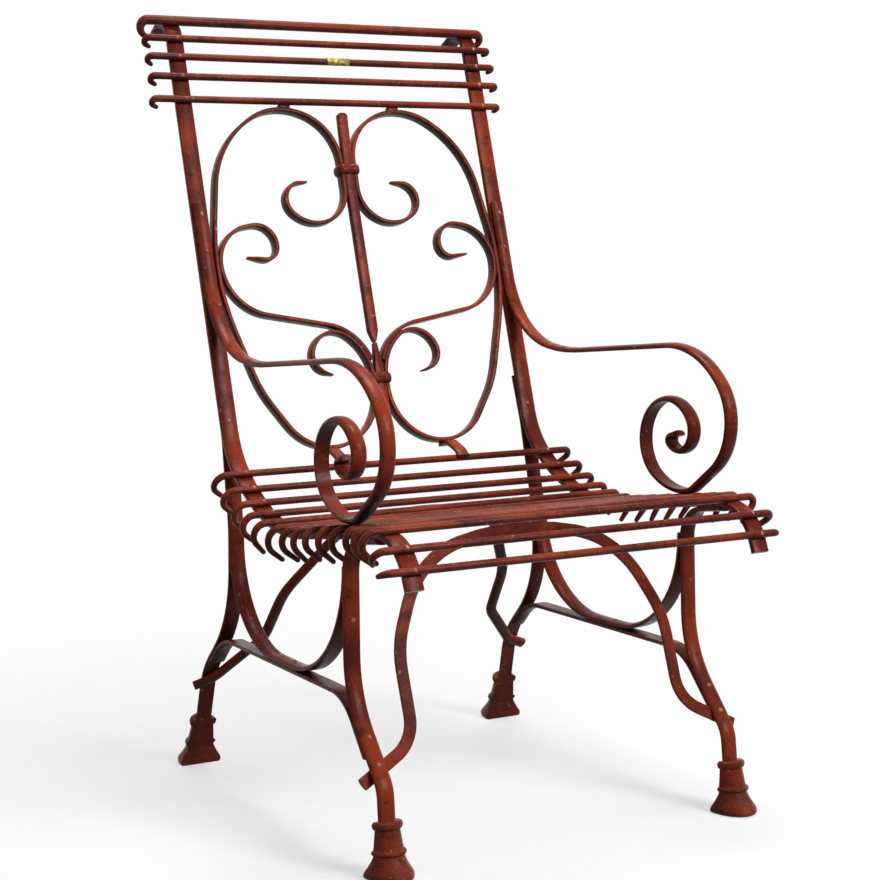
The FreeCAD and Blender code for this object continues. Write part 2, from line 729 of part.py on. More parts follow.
def collar(label, rise):
    inner_x = size("centre_gap") / 2 + STRIP_T
    inner_y = size("strip_width") / 2
    height = size("collar_height")
    cut = size("collar_corner")
    rings = []
    for share, wall in ((0, "collar_rim"), (0.25, "collar_wall"), (0.75, "collar_wall"), (1, "collar_rim")):
        x = inner_x + size(wall)
        y = inner_y + size(wall)
        level = rise + (share - 0.5) * height
        outline = ((x - cut, -y), (x, cut - y), (x, y - cut), (x - cut, y),
                   (cut - x, y), (-x, y - cut), (-x, cut - y), (cut - x, -y))
        rings.append([Vector(across, level, forward) for across, forward in outline])
    bundle = Part.makeBox(2 * inner_x, height, 2 * inner_y,
                          Vector(-inner_x, rise - height / 2, -inner_y))
    band = document.addObject("Part::Feature", label)
    band.Label = label
    band.Shape = faceted_skin(rings).cut(bundle)
    place(band, panel_frame(1))


collar("collar_upper", size("upper_collar_rise"))
collar("collar_lower", size("lower_collar_rise"))

# Straps from under the ovals forward onto the first seat rod

oval_low = min(curve.toShape().BoundBox.YMin for curve in oval_ring)
strap_rise = oval_low - STRIP_T
strap_under = panel_origin + rake * strap_rise
first_point, first_heading = on_rail(seat_stations[-1])
first_up = left_of(first_heading)
strap_landing = first_point + first_up * (RAIL_T / 2 + 2 * seat_rod_r + STRIP_T / 2)
strap_root = Vector(strap_under.y, strap_under.z, 0)
strap_forward = Vector(panel_front.y, panel_front.z, 0)
strap_path = rounded_path(
    [strap_root - strap_forward * size("strap_root"), strap_root + strap_forward * size("strap_reach"),
     strap_landing + first_heading * size("strap_toe"), strap_landing - first_heading * size("strap_heel")],
    [size("strap_radius"), size("strap_radius")])
for side_name, side in SIDES:
    strap = bent_bar("seat_strap_" + side_name, strap_path, flat_section, "strip_width", "strip_thickness")
    place(strap, frame(Vector(side * size("strap_x"), 0, 0), Vector(0, 1, 0), Vector(0, 0, 1)))

# Arched braces between the legs, half-round bar bent edgewise, with a flat palm at each end


def arch(end_name, leg_path, leg_side, palm_z, top_z, lean_y, half_outline, radii):
    """half_outline runs from the palm to the crown of the arch: how far in, and how far up."""
    label = end_name + "_arch_brace"
    distance = 0.0
    low, high = 0.0, path_length(leg_path)
    while high - low > 0.01:
        distance = (low + high) / 2
        if station(leg_path, distance)[0].y > palm_z:
            low = distance
        else:
            high = distance
    on_leg, leg_heading = station(leg_path, distance)
    leg_normal = left_of(leg_heading) * leg_side
    start = on_leg + leg_normal * (LEG_T + size("arch_thickness")) / 2
    end = Vector(start.x + lean_y, top_z, 0)
    rise = unit(start, end)
    stretch = (end - start).Length / (top_z - start.y)
    half_span = side_x(end_name + "_leg", start.x, palm_z)
    right = [Vector(half_span - inset, up * stretch, 0) for inset, up in half_outline]
    apex = Vector(0, (end - start).Length, 0)
    left = [Vector(-point.x, point.y, 0) for point in right]
    curves = rounded_path(left + [apex] + right[::-1], radii + [size("arch_crown_radius")] + radii[::-1])
    body = bent_bar(label, curves, crowned_section, "arch_width", "arch_thickness", -leg_side, True)
    plane = frame(Vector(0, start.x, start.y), Vector(1, 0, 0), Vector(0, rise.x, rise.y))
    to_plane = plane.inverse()
    face = on_leg + leg_normal * LEG_T / 2
    for palm_side in (-1, 1):
        corner = Vector(palm_side * half_span, face.x, face.y)
        normal = Vector(0, leg_normal.x, leg_normal.y)
        up_leg = Vector(0, -leg_heading.x, -leg_heading.y)
        palm_frame = to_plane.multiply(frame(corner, normal.cross(up_leg) * -1, up_leg))
        palm = new_sketch(body, label + "_palm_%d" % (palm_side + 2), palm_frame)
        outer = size("leg_width") / 2 + size("palm_overhang")
        inner = size("palm_length") - outer
        outward = palm_frame.Rotation.inverted().multVec(Vector(palm_side, 0, 0)).x
        half_h = size("palm_height") / 2
        spans = sorted((outward * outer, -outward * inner))
        closed_polygon(palm, [Vector(spans[0], -half_h, 0), Vector(spans[1], -half_h, 0),
                              Vector(spans[1], half_h, 0), Vector(spans[0], half_h, 0)])
        pad = body.newObject("PartDesign::Pad", label + "_palm_pad_%d" % (palm_side + 2))
        pad.Profile = palm
        pad.setExpression("Length", "sizes.palm_thickness")
        pad.Reversed = palm_frame.Rotation.multVec(Vector(0, 0, 1)).dot(
            to_plane.Rotation.multVec(normal)) < 0
    place(body, plane)


arch("front", front_leg_path, 1, 118, 360, 88, [(8, 0), (52, 23), (52, 123), (98, 216)], [47, 120, 128])
arch("rear", rear_leg_path, -1, 120, 355, -168, [(0, 0), (60, 58), (67, 124), (121, 210)], [40, 99, 80])

# Cast hoof feet: a half shell round the crown of each leg, beaded, flaring to the toe

HOOF_SEGMENTS = 6
HOOF_LEVELS = (
    # share of the height, width over the waist width, reach over the width: sole, pastern, bead, neck, bead
    (0.00, 1.30, 0.72), (0.14, 1.60, 0.78), (0.38, 1.02, 0.56),
    (0.41, 1.15, 0.56), (0.50, 1.15, 0.56), (0.54, 0.97, 0.55), (0.86, 0.82, 0.53),
    (0.89, 1.00, 0.52), (0.97, 1.00, 0.52), (1.00, 0.84, 0.50))


def hoof(end_name, side_name, side, ankle, foot, toe):
    """toe is -1 where the hoof points forward and 1 where it points back."""
    bars = end_name + "_leg"
    height = size("hoof_height")
    rings = []
    for share, spread, reach in HOOF_LEVELS:
        level = height * share
        on_leg = foot + (ankle - foot) * ((level - foot.y) / (ankle.y - foot.y))
        heel = size("hoof_heel") * max(0.0, 1 - level / size("hoof_waist_rise"))
        flat = on_leg.x - toe * (LEG_T / 2 + heel)
        width = size("hoof_waist_width") * spread
        deep = width * reach + heel
        tilt = (ankle.x - foot.x) / (ankle.y - foot.y) * share
        inward = -side * slope(bars + "_lean") * level
        ring = []
        for step in range(HOOF_SEGMENTS + 1):
            angle = math.pi * step / HOOF_SEGMENTS
            forward = toe * deep * math.sin(angle)
            ring.append(Vector(flat + forward, level - forward * tilt, width / 2 * math.cos(angle) + inward))
        rings.append(ring)
    label = "hoof_foot_%s_%s" % (end_name, side_name)
    foot_part = document.addObject("Part::Feature", label)
    foot_part.Label = label
    leg_bar = document.getObject("%s_leg_%s" % (end_name, side_name))
    upright = frame(Vector(side * half_width(bars), 0, 0), Vector(0, 1, 0), Vector(0, 0, 1))
    foot_part.Shape = faceted_skin(rings).cut(leg_bar.Shape.transformed(upright.inverse().toMatrix()))
    place(foot_part, upright)


document.recompute()
for side_name, side in SIDES:
    hoof("front", side_name, side, front_ankle, front_foot, -1)
    hoof("rear", side_name, side, rear_ankle, rear_foot, 1)

# The whole chair is moved so that its box is centred over the origin and stands on the floor

document.recompute()
whole = FreeCAD.BoundBox()
for sub_part in sub_parts:
    whole.add(sub_part.Shape.BoundBox)
shift = Vector(-whole.Center.x, -whole.Center.y, -whole.ZMin)
for sub_part in sub_parts:
    sub_part.Placement = Placement(sub_part.Placement.Base + shift, sub_part.Placement.Rotation)

document.recompute()
faults = [item.Label for item in document.Objects if "Invalid" in item.State or "Error" in item.State]
for sub_part in sub_parts:
    if sub_part.Shape.isNull() or not sub_part.Shape.isValid():
        faults.append(sub_part.Label)
if faults:
    raise RuntimeError("not sound: " + ", ".join(faults))
os.makedirs("parts", exist_ok=True)
for sub_part in sub_parts:
    sub_part.Shape.exportStep("parts/" + sub_part.Label + ".step")
print(len(sub_parts), "sub-parts,", "box", [round(v, 1) for v in (whole.XLength, whole.YLength, whole.ZLength)],
      "moved", [round(v, 2) for v in shift])
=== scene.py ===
import math
import random

import bmesh
import bpy
from mathutils import Matrix, Vector


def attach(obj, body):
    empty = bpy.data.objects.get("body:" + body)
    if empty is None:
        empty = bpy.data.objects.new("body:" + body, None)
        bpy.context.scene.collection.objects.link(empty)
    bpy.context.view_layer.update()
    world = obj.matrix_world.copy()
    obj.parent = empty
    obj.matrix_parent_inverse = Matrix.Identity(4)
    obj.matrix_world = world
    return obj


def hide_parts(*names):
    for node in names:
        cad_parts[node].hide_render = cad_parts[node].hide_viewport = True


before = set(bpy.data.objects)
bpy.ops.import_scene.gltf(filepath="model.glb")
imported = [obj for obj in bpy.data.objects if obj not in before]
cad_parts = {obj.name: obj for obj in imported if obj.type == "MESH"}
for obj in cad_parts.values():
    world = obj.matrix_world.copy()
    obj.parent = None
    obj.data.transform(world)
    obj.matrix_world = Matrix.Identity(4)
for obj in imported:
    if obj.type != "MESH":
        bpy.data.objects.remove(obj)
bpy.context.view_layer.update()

# Stiles and seat rails
# One flat bar a side, bent cold from the rolled top, down the raked back, along the dished seat
# and over the nose. Mild steel under brushed rust-red paint that has worn to brown in places.

MM = 0.001
DRAWING_ZERO = Vector((3.74, -46.23, 0))      # where the drawings' zero lies in the frame
ARC_STEP = math.radians(5)
BEND_ROOM = 0.995       # share of a straight run that the bends at its ends may take
SAME_PLACE = 0.01       # points closer than this are one
CAP_CORNERS = 7         # a face with this many corners or more is a bar's end
SIDES = (("left", -1), ("right", 1))

RAIL_WIDTH = 22.0
RAIL_THICKNESS = 7.0
RAIL_STANCE = (224.5, 1.12, -0.35)      # half width on the floor, then degrees of toe-in and lean-in
STILE_RAKE = 17.3
STILE_RUN = 558.4
ROLL_RADIUS = 30.0
ROLL_TURN = 103.0
ROLL_TAIL = 20.0
BACK_BEND = 109.0
DISH_BEND = 249.0
NOSE_BEND = 59.0
CORNER_CUT = 0.35       # an eased edge's middle lies this share of the ease in from the corner
CROWN_FULLNESS = 0.55       # 1 is a true half round, and less is fuller at the shoulders
CROWN_DEGREES = (6, 12, 20, 30, 42, 56, 72, 90, 108, 124, 138, 150, 160, 168, 174)
HEEL_EASE = 0.8
TIP_SIZE = 0.45         # a drawn-out tip's size beside the bar's own
TIP_STEP = 5.0


def point(x, y):
    return Vector((x, y))


def heading(degrees):
    return point(math.cos(math.radians(degrees)), math.sin(math.radians(degrees)))


def left_of(direction):
    return point(-direction.y, direction.x)


def turned(vector, angle):
    return point(vector.x * math.cos(angle) - vector.y * math.sin(angle),
                 vector.x * math.sin(angle) + vector.y * math.cos(angle))


def beside(start, end, distance, offset):
    """A point this far along the line from start to end, and this far to its left."""
    direction = (end - start).normalized()
    return start + direction * distance + left_of(direction) * offset


def swing(start, direction, radius, turn):
    """Points of an arc that leaves start along direction, and the heading it ends with."""
    centre = start + left_of(direction) * math.copysign(radius, turn)
    steps = max(2, math.ceil(abs(turn) / ARC_STEP))
    points = [centre + turned(start - centre, turn * step / steps) for step in range(1, steps + 1)]
    return points, turned(direction, turn)


def bend(corners, radii):
    """A bar's centre line: straight runs between the corners, with an arc at each bend."""
    turns = []
    for before, corner, after in zip(corners, corners[1:], corners[2:]):
        arriving = (corner - before).normalized()
        leaving = (after - corner).normalized()
        turns.append(math.atan2(left_of(arriving).dot(leaving), arriving.dot(leaving)))
    wanted = [radius * math.tan(abs(turn) / 2) for radius, turn in zip(radii, turns)]
    wanted = [0.0] + wanted + [0.0]
    tangents = list(wanted)
    for index in range(len(corners) - 1):
        room = (corners[index + 1] - corners[index]).length * BEND_ROOM
        both = wanted[index] + wanted[index + 1]
        if both > room:
            tangents[index] = min(tangents[index], wanted[index] * room / both)
            tangents[index + 1] = min(tangents[index + 1], wanted[index + 1] * room / both)
    points = [corners[0]]
    for corner, before, turn, tangent in zip(corners[1:], corners, turns, tangents[1:]):
        arriving = (corner - before).normalized()
        first = corner - arriving * tangent
        if (first - points[-1]).length > SAME_PLACE:
            points.append(first)
        arc, _ = swing(first, arriving, tangent / math.tan(abs(turn) / 2), turn)
        points += arc
    points.append(corners[-1])
    return points


def clear_selection():
    if bpy.context.mode != "OBJECT":
        bpy.ops.object.mode_set(mode="OBJECT")
    bpy.ops.object.select_all(action="DESELECT")


def take(piece):
    clear_selection()
    piece.select_set(True)
    bpy.context.view_layer.objects.active = piece


def drawn_line(name, points, closed=False, flat=True):
    """A drawn line through the points, on the drawing or, if it isn't flat, off it too."""
    data = bpy.data.curves.new(name, "CURVE")
    data.dimensions = "2D" if flat else "3D"
    data.fill_mode = "NONE" if flat else "FULL"
    line = data.splines.new("POLY")
    line.points.add(len(points) - 1)
    for target, place in zip(line.points, points):
        target.co = (*place.to_3d(), 1)
    line.use_cyclic_u = closed
    drawn = bpy.data.objects.new(name, data)
    bpy.context.scene.collection.objects.link(drawn)
    return drawn


def to_mesh(drawn):
    """The drawn line turned into a mesh."""
    take(drawn)
    bpy.ops.object.convert(target="MESH")
    return bpy.context.view_layer.objects.active


def settle(piece, placement):
    """Puts the piece in its place and leaves its object at the origin."""
    piece.matrix_world = placement
    take(piece)
    bpy.ops.object.transform_apply(location=True, rotation=True, scale=True)


def smooth(piece, degrees=40):
    take(piece)
    bpy.ops.object.shade_smooth_by_angle(angle=math.radians(degrees))


def finished(piece, placement, degrees=40, ease=0.0):
    """The piece in its place, its skin merged, eased at its ends, turned outwards and smoothed."""
    settle(piece, placement)
    bpy.ops.object.mode_set(mode="EDIT")
    bpy.ops.mesh.select_all(action="SELECT")
    bpy.ops.mesh.remove_doubles(threshold=1e-6)
    bpy.ops.mesh.normals_make_consistent(inside=False)
    if ease:
        bpy.ops.mesh.select_mode(type="FACE")
        bpy.ops.mesh.select_all(action="DESELECT")
        skin = bmesh.from_edit_mesh(piece.data)
        for face in skin.faces:
            face.select = len(face.verts) >= CAP_CORNERS
        bmesh.update_edit_mesh(piece.data)
        bpy.ops.mesh.region_to_loop()
        bpy.ops.mesh.bevel(offset=ease, segments=2, affect="EDGES")
    bpy.ops.object.mode_set(mode="OBJECT")
    smooth(piece, degrees)
    return piece


def drawn_out(line, tips):
    """The line in short steps, and the bar's size at each, drawn down over the lengths in tips."""
    fine = [line[0]]
    for place in line[1:]:
        start = fine[-1]
        steps = max(1, math.ceil((place - start).length / TIP_STEP))
        fine += [start.lerp(place, step / steps) for step in range(1, steps + 1)]
    sizes = [1.0] * len(fine)
    for order, tip in zip((range(len(fine)), reversed(range(len(fine)))), tips):
        run, last = 0.0, None
        for index in order:
            run += (fine[index] - last).length if last else 0.0
            last = fine[index]
            if run < tip:
                size = TIP_SIZE + (1 - TIP_SIZE) * math.sin(run / tip * math.pi / 2)
                sizes[index] = min(sizes[index], size)
    return fine, sizes


def swept(name, line, section, placement, ease=0.8, tips=None, closed=False, degrees=40):
    """A bar of this section, bent along the line and put in its place."""
    line, sizes = drawn_out(line, tips) if tips else (line, [1.0] * len(line))
    path = drawn_line(name, line, closed)
    for target, size in zip(path.data.splines[0].points, sizes):
        target.radius = size
    profile = drawn_line(name + "_section", section, closed=True)
    path.data.bevel_mode = "OBJECT"
    path.data.bevel_object = profile
    path.data.use_fill_caps = not closed
    piece = to_mesh(path)
    bpy.data.objects.remove(profile)
    return finished(piece, placement, degrees, ease * MM)


def flat_bar(width, thickness, ease=0.9):
    """Section of a flat bar, its edges eased by rolling and paint."""
    across, up, cut = thickness / 2, width / 2, ease * CORNER_CUT
    right = [point(across - ease, up), point(across - cut, up - cut), point(across, up - ease)]
    right_low = [point(p.x, -p.y) for p in reversed(right)]
    left_low = [point(-p.x, -p.y) for p in right]
    left = [point(-p.x, p.y) for p in reversed(right)]
    return right + right_low + left_low + left


def crowned_bar(width, thickness, side=1):
    """Section of half-round bar: a flat back and a full crown to the left of the path (side 1)."""
    half, back = width / 2, side * thickness / 2
    crown = []
    for angle in [math.radians(degrees) for degrees in CROWN_DEGREES]:
        rise = thickness * math.sin(angle) ** CROWN_FULLNESS
        crown.append(point(back - side * rise, half * math.cos(angle)))
    heel = [point(back - side * HEEL_EASE, -half), point(back, -half + HEEL_EASE),
            point(back, half - HEEL_EASE), point(back - side * HEEL_EASE, half)]
    return crown + heel


def in_plane(origin, across, up):
    """Placement of a drawing in mm: its X along across and its Y along up."""
    across, up = across.normalized(), up.normalized()
    out = across.cross(up)
    turn = Matrix((across, up, out)).transposed().to_4x4()
    return Matrix.Translation((origin + DRAWING_ZERO) * MM) @ turn @ Matrix.Scale(MM, 4)


def side_plane(side, stance):
    """Placement of the right (1) or left (-1) drawing of bars with this stance."""
    width, toe, lean = stance
    across = Vector((-side * math.tan(math.radians(toe)), 1, 0)).normalized()
    up = Vector((-side * math.tan(math.radians(lean)), 0, 1))
    return in_plane(Vector((side * width, 0, 0)), across, up - across * up.dot(across))


def feed(tree, node, inputs):
    """Links the node's inputs to sockets, or sets them to values, and tells its outputs."""
    for key, value in inputs.items():
        if isinstance(value, bpy.types.NodeSocket):
            tree.links.new(value, node.inputs[key])
        else:
            node.inputs[key].default_value = value
    return node.outputs


def made(tree, kind, inputs, **settings):
    """The outputs of a new node of this kind, with these inputs and settings."""
    node = tree.nodes.new("ShaderNode" + kind)
    for label, setting in settings.items():
        setattr(node, label, setting)
    return feed(tree, node, inputs)


def mix_of(tree, factor, first, second):
    return made(tree, "Mix", {0: factor, 6: first, 7: second}, data_type="RGBA")[2]


def band_of(tree, value, low, high, bottom=0.0, top=1.0):
    """The value's way from low to high, eased and turned into bottom to top."""
    inputs = dict(enumerate((value, low, high, bottom, top)))
    return made(tree, "MapRange", inputs, interpolation_type="SMOOTHSTEP")[0]


def times(tree, first, second):
    return made(tree, "Math", {0: first, 1: second}, operation="MULTIPLY")[0]


def plus(tree, first, second):
    return made(tree, "Math", {0: first, 1: second}, operation="ADD")[0]


PAINT_TONES = {"Paint": (0.112, 0.014, 0.007), "Bright": (0.265, 0.036, 0.011),
               "Dark": (0.022, 0.007, 0.005), "Rust": (0.15, 0.050, 0.016),
               "Bare": (0.42, 0.23, 0.11)}
# Wear and grain belong to the paint; the third amount is painted shade on the faces that look down.
PAINT_AMOUNTS = {"Wear": 0.5, "Grain": 1.0, "Grime": 0.5}
PAINT_SHINE = 0.07
GLOSSY, DULL = 0.20, 0.36       # roughness of the fresh and of the weathered paint
RUST_DULLS = 0.2
RELIEF = 0.6


def paint_wear():
    """Group for brushed paint over iron: tone patches, painted shade on the faces that look down,
    rust, chips and brush relief.
    """
    tree = bpy.data.node_groups.new("Worn paint", "ShaderNodeTree")

    def socket(label, kind, in_out="INPUT"):
        return tree.interface.new_socket(label, in_out=in_out, socket_type="NodeSocket" + kind)

    for label, colour in PAINT_TONES.items():
        socket(label, "Color").default_value = (*colour, 1)
    for label, number in PAINT_AMOUNTS.items():
        socket(label, "Float").default_value = number
    for label, kind in (("Color", "Color"), ("Roughness", "Float"), ("Height", "Float")):
        socket(label, kind, "OUTPUT")
    given = tree.nodes.new("NodeGroupInput").outputs
    place = made(tree, "TexCoord", {})["Object"]

    def noise(scale, detail, roughness=0.55, distortion=0.0, shift=0.0):
        source = place
        if shift:
            slide = (shift, shift * 0.7, -shift)
            source = made(tree, "Mapping", {"Vector": place, "Location": slide})[0]
        return made(tree, "TexNoise", {"Vector": source, "Scale": scale, "Detail": detail,
                                       "Roughness": roughness, "Distortion": distortion})["Fac"]

    broad = noise(11, 3)
    mottled = noise(70, 5, 0.65, shift=3.1)
    fine = noise(330, 4, 0.7, shift=1.7)
    stain = noise(26, 6, 0.7, 0.6, shift=7.3)
    chip = noise(140, 5, 0.6, shift=5.9)
    speck = noise(560, 2, 0.5, shift=9.2)
    facing = made(tree, "SeparateXYZ", {0: made(tree, "NewGeometry", {})["Normal"]})
    # Painted shade: faces that look down are drawn toward the dark tone, more the further they turn
    # down.
    under = band_of(tree, facing["Z"], -0.75, 0.25, 1.0, 0.0)
    rusted = times(tree, band_of(tree, stain, 0.56, 0.68), given["Wear"])
    tone = given["Paint"]
    for amount, colour in (
            (band_of(tree, broad, 0.36, 0.64), "Bright"),
            (band_of(tree, mottled, 0.50, 0.72, 0, 0.7), "Dark"),
            (band_of(tree, fine, 0.56, 0.76, 0, 0.4), "Bright"),
            # painted shade on the faces that look down
            (times(tree, under, given["Grime"]), "Dark"),
            (rusted, "Rust"),
            (times(tree, band_of(tree, chip, 0.655, 0.69), given["Wear"]), "Bare"),
            (times(tree, band_of(tree, speck, 0.72, 0.76), given["Wear"]), "Bare")):
        tone = mix_of(tree, amount, tone, given[colour])
    gloss = band_of(tree, mottled, 0.3, 0.7, GLOSSY, DULL)
    relief = plus(tree, times(tree, fine, 0.35), times(tree, mottled, 0.65))
    feed(tree, tree.nodes.new("NodeGroupOutput"), {
        "Color": tone, "Roughness": plus(tree, gloss, times(tree, rusted, RUST_DULLS)),
        "Height": times(tree, relief, given["Grain"])})
    return tree


worn_paint = paint_wear()


def new_finish(name):
    """A new material, its node tree and its shader."""
    material = bpy.data.materials.new(name)
    material.use_nodes = True
    return material, material.node_tree, material.node_tree.nodes["Principled BSDF"]


def relief_of(tree, height, depth, strength):
    inputs = {"Height": height, "Distance": depth, "Strength": strength}
    return made(tree, "Bump", inputs)["Normal"]


# Besides wear and grain, each paint sets how strongly painted shade darkens its faces that look down.
def paint(name, wear=0.5, grain=1.0, depth=0.0006, underside_shade=0.7, **colours):
    """Rust-red paint with its own amount of wear."""
    material, tree, shader = new_finish(name)
    inputs = {"Wear": wear, "Grain": grain, "Grime": underside_shade}
    inputs.update({label: (*colour, 1) for label, colour in colours.items()})
    worn = made(tree, "Group", inputs, node_tree=worn_paint)
    feed(tree, shader, {"Base Color": worn["Color"], "Roughness": worn["Roughness"],
                        "Normal": relief_of(tree, worn["Height"], depth, RELIEF),
                        "Specular IOR Level": PAINT_SHINE})
    return material


bar_paint = paint("bar_paint", wear=0.55)


def coat(piece, material):
    piece.data.materials.clear()
    piece.data.materials.append(material)


def fix_on(piece, material, node=None):
    """Coats the piece and fixes it to the chair, in the place of its CAD node if it has one."""
    coat(piece, material)
    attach(piece, "root")
    if node:
        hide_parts(node)


def painted_bar(name, node, line, section, placement, **making):
    """A swept bar under bar paint, fixed in the place of its CAD node."""
    fix_on(swept(name, line, section, placement, **making), bar_paint, node=node)


back_corner = point(175.5, 417)
seat_dip = point(54.5, 334.5)
seat_front = point(-284, 383)
nose = point(-308, 326)
rake = heading(90 - STILE_RAKE)
roll_out = heading(90 - STILE_RAKE - ROLL_TURN)
roll_tangent = ROLL_RADIUS * math.tan(math.radians(ROLL_TURN) / 2)
roll_corner = back_corner + rake * (STILE_RUN + roll_tangent)
stile_tip = roll_corner + roll_out * (roll_tangent + ROLL_TAIL)
rail_line = bend([stile_tip, roll_corner, back_corner, seat_dip, seat_front, nose],
                 [ROLL_RADIUS, BACK_BEND, DISH_BEND, NOSE_BEND])
for side_name, side in SIDES:
    painted_bar("stile_and_seat_rail_" + side_name, "stile_rail_" + side_name, rail_line,
                flat_bar(RAIL_WIDTH, RAIL_THICKNESS), side_plane(side, RAIL_STANCE))

# Legs
# Half-round bars hot-riveted by their flats to the seat rail in front and to the stile behind.
# They kick out at the ankle into the cast feet.

LEG_WIDTH = 21.0
LEG_THICKNESS = 7.0
LEG_STEP = (RAIL_THICKNESS + LEG_THICKNESS) / 2
LEG_END = 14.0
FRONT_STANCE = (237.5, 0.0, 0.63)
REAR_STANCE = (235.5, 0.0, 1.64)
FRONT_LAP = (44.0, 121.0)       # along the seat rail from its front corner
REAR_LAP = (88.4, 26.4)         # along the stile from its foot
FRONT_LEG_BENDS = [40, 129, 40]
REAR_LEG_BENDS = [120, 150, 140, 100]
front_lap = [beside(seat_front, seat_dip, distance, -LEG_STEP) for distance in FRONT_LAP]
front_knee = point(-170, 184)
front_ankle = point(-248, 98)
front_foot = point(-257, LEG_END)
front_leg_line = bend(front_lap + [front_knee, front_ankle, front_foot], FRONT_LEG_BENDS)
rear_lap = [beside(back_corner, roll_corner, distance, -LEG_STEP) for distance in REAR_LAP]
rear_waist = point(167, 330)
rear_knee = point(163, 215)
rear_ankle = point(246, 133)
rear_foot = point(277, LEG_END)
rear_leg_line = bend(rear_lap + [rear_waist, rear_knee, rear_ankle, rear_foot], REAR_LEG_BENDS)
for side_name, side in SIDES:
    for end_name, line, crown, stance in (("front_leg_", front_leg_line, -1, FRONT_STANCE),
                                          ("rear_leg_", rear_leg_line, 1, REAR_STANCE)):
        painted_bar(end_name + "bar_" + side_name, end_name + side_name, line,
                    crowned_bar(LEG_WIDTH, LEG_THICKNESS, crown), side_plane(side, stance))

# Side braces
# A U of half-round bar between the legs of each side, and under it a low bow whose ends run
# down the legs. Both are riveted through the flats of the legs and to each other.

BRACE_STANCE = (236.5, 0.94, 1.15)
BRACE_HEIGHT = 190.0
BRACE_TOP = 330.0
BRACE_BENDS = [130, 150]
BOW_BENDS = [70, 70]
BOW_REAR_END = 88.0         # down the legs from the knees
BOW_FRONT_END = 75.0


def at_height(start, end, offset, height):
    """Point at this height on the line beside the line from start to end."""
    first = beside(start, end, 0, offset)
    direction = (end - start).normalized()
    return first + direction * ((height - first.y) / direction.y)


rear_face = (rear_waist, rear_knee, -LEG_THICKNESS)
front_face = (front_lap[1], front_knee, LEG_THICKNESS)
brace_line = bend([at_height(*rear_face, BRACE_TOP), at_height(*rear_face, BRACE_HEIGHT),
                   at_height(*front_face, BRACE_HEIGHT), at_height(*front_face, BRACE_TOP)],
                  BRACE_BENDS)
bow_height = BRACE_HEIGHT - LEG_THICKNESS
bow_line = bend([beside(rear_knee, rear_ankle, BOW_REAR_END, -LEG_THICKNESS),
                 at_height(rear_knee, rear_ankle, -LEG_THICKNESS, bow_height),
                 at_height(front_knee, front_ankle, LEG_THICKNESS, bow_height),
                 beside(front_knee, front_ankle, BOW_FRONT_END, LEG_THICKNESS)], BOW_BENDS)
for side_name, side in SIDES:
    for bar_name, node, line, crown in (("side_brace_", "side_u_brace_", brace_line, -1),
                                        ("side_bow_", "side_stretcher_", bow_line, 1)):
        painted_bar(bar_name + side_name, node + side_name, line,
                    crowned_bar(LEG_WIDTH, LEG_THICKNESS, crown), side_plane(side, BRACE_STANCE))

# Armrests
# Thinner half-round bar lapped and riveted on the face of the stile, carried over to the front
# and down to the seat, where it rolls up into an open scroll.

ARM_WIDTH = 19.0
ARM_THICKNESS = 7.0
ARM_STEP = (RAIL_THICKNESS + ARM_THICKNESS) / 2
ARM_LAP = (333.4, 145.4)        # along the stile from its foot
LANDING_BEND = 40.0
ARM_BENDS = [140, 300, 123, 71, LANDING_BEND]
SCROLL_LEAD = 13.0
SCROLL_RADIUS = 96.0
SCROLL_ARCS = ((SCROLL_RADIUS, 41), (53, 183), (46, 21), (27, 166), (7, 120))
SCROLL_TIP = 11.0
SCROLL_ROD = 5          # the scroll rests on the sixth rod from the nose
SEAT_ROD = 9.0
NOSE_STATIONS = [20.0, 43.5]        # the rods' places along the rail from the tip of its nose
FIRST_STATION = 77.0
STATION_STEP = 31.6
STATIONS = 14


def on_rail(from_nose):
    """The rail's place at this distance from its nose, and its heading to the back there."""
    runs = list(zip(rail_line, rail_line[1:]))
    distance = sum((end - start).length for start, end in runs) - from_nose
    for start, end in runs:
        if distance <= (end - start).length:
            break
        distance -= (end - start).length
    direction = (end - start).normalized()
    return start + direction * distance, -direction


def curl(start, direction, arcs, tail):
    """A scroll's line: one arc after the other, each with its radius and turn, and a straight tip."""
    line = [start]
    for radius, turn in arcs:
        arc, direction = swing(line[-1], direction, radius, math.radians(turn))
        line += arc
    line.append(line[-1] + direction * tail)
    return line


seat_stations = NOSE_STATIONS + [FIRST_STATION + STATION_STEP * index for index in range(STATIONS)]
rest_place, rest_heading = on_rail(seat_stations[SCROLL_ROD])
rest_rod = rest_place + left_of(rest_heading) * ((RAIL_THICKNESS + SEAT_ROD) / 2)
rod_distance = SCROLL_RADIUS + (ARM_THICKNESS + SEAT_ROD) / 2
scroll_rise = math.sqrt(rod_distance ** 2 - SCROLL_LEAD ** 2) - SCROLL_RADIUS
scroll_start = rest_rod - rest_heading * SCROLL_LEAD + left_of(rest_heading) * scroll_rise
arm_back = point(95, 540)
arm_top = point(-190, 565)
arm_front = point(-289, 463)
landing_turn = (scroll_start - arm_front).angle(rest_heading)
arm_landing = scroll_start - rest_heading * LANDING_BEND * math.tan(landing_turn / 2)
arm_lap = [beside(back_corner, roll_corner, distance, ARM_STEP) for distance in ARM_LAP]
arm_line = bend(arm_lap + [arm_back, arm_top, arm_front, arm_landing, scroll_start], ARM_BENDS)
arm_line += curl(arm_line[-1], rest_heading, SCROLL_ARCS, SCROLL_TIP)[1:]
for side_name, side in SIDES:
    painted_bar("armrest_bar_" + side_name, "armrest_" + side_name, arm_line,
                crowned_bar(ARM_WIDTH, ARM_THICKNESS, -1), side_plane(side, RAIL_STANCE))

# Seat rods
# Sixteen round rods laid across the seat rails and riveted down. Each end is drawn down thin and
# curled under by eye, so no two hooks are quite alike.

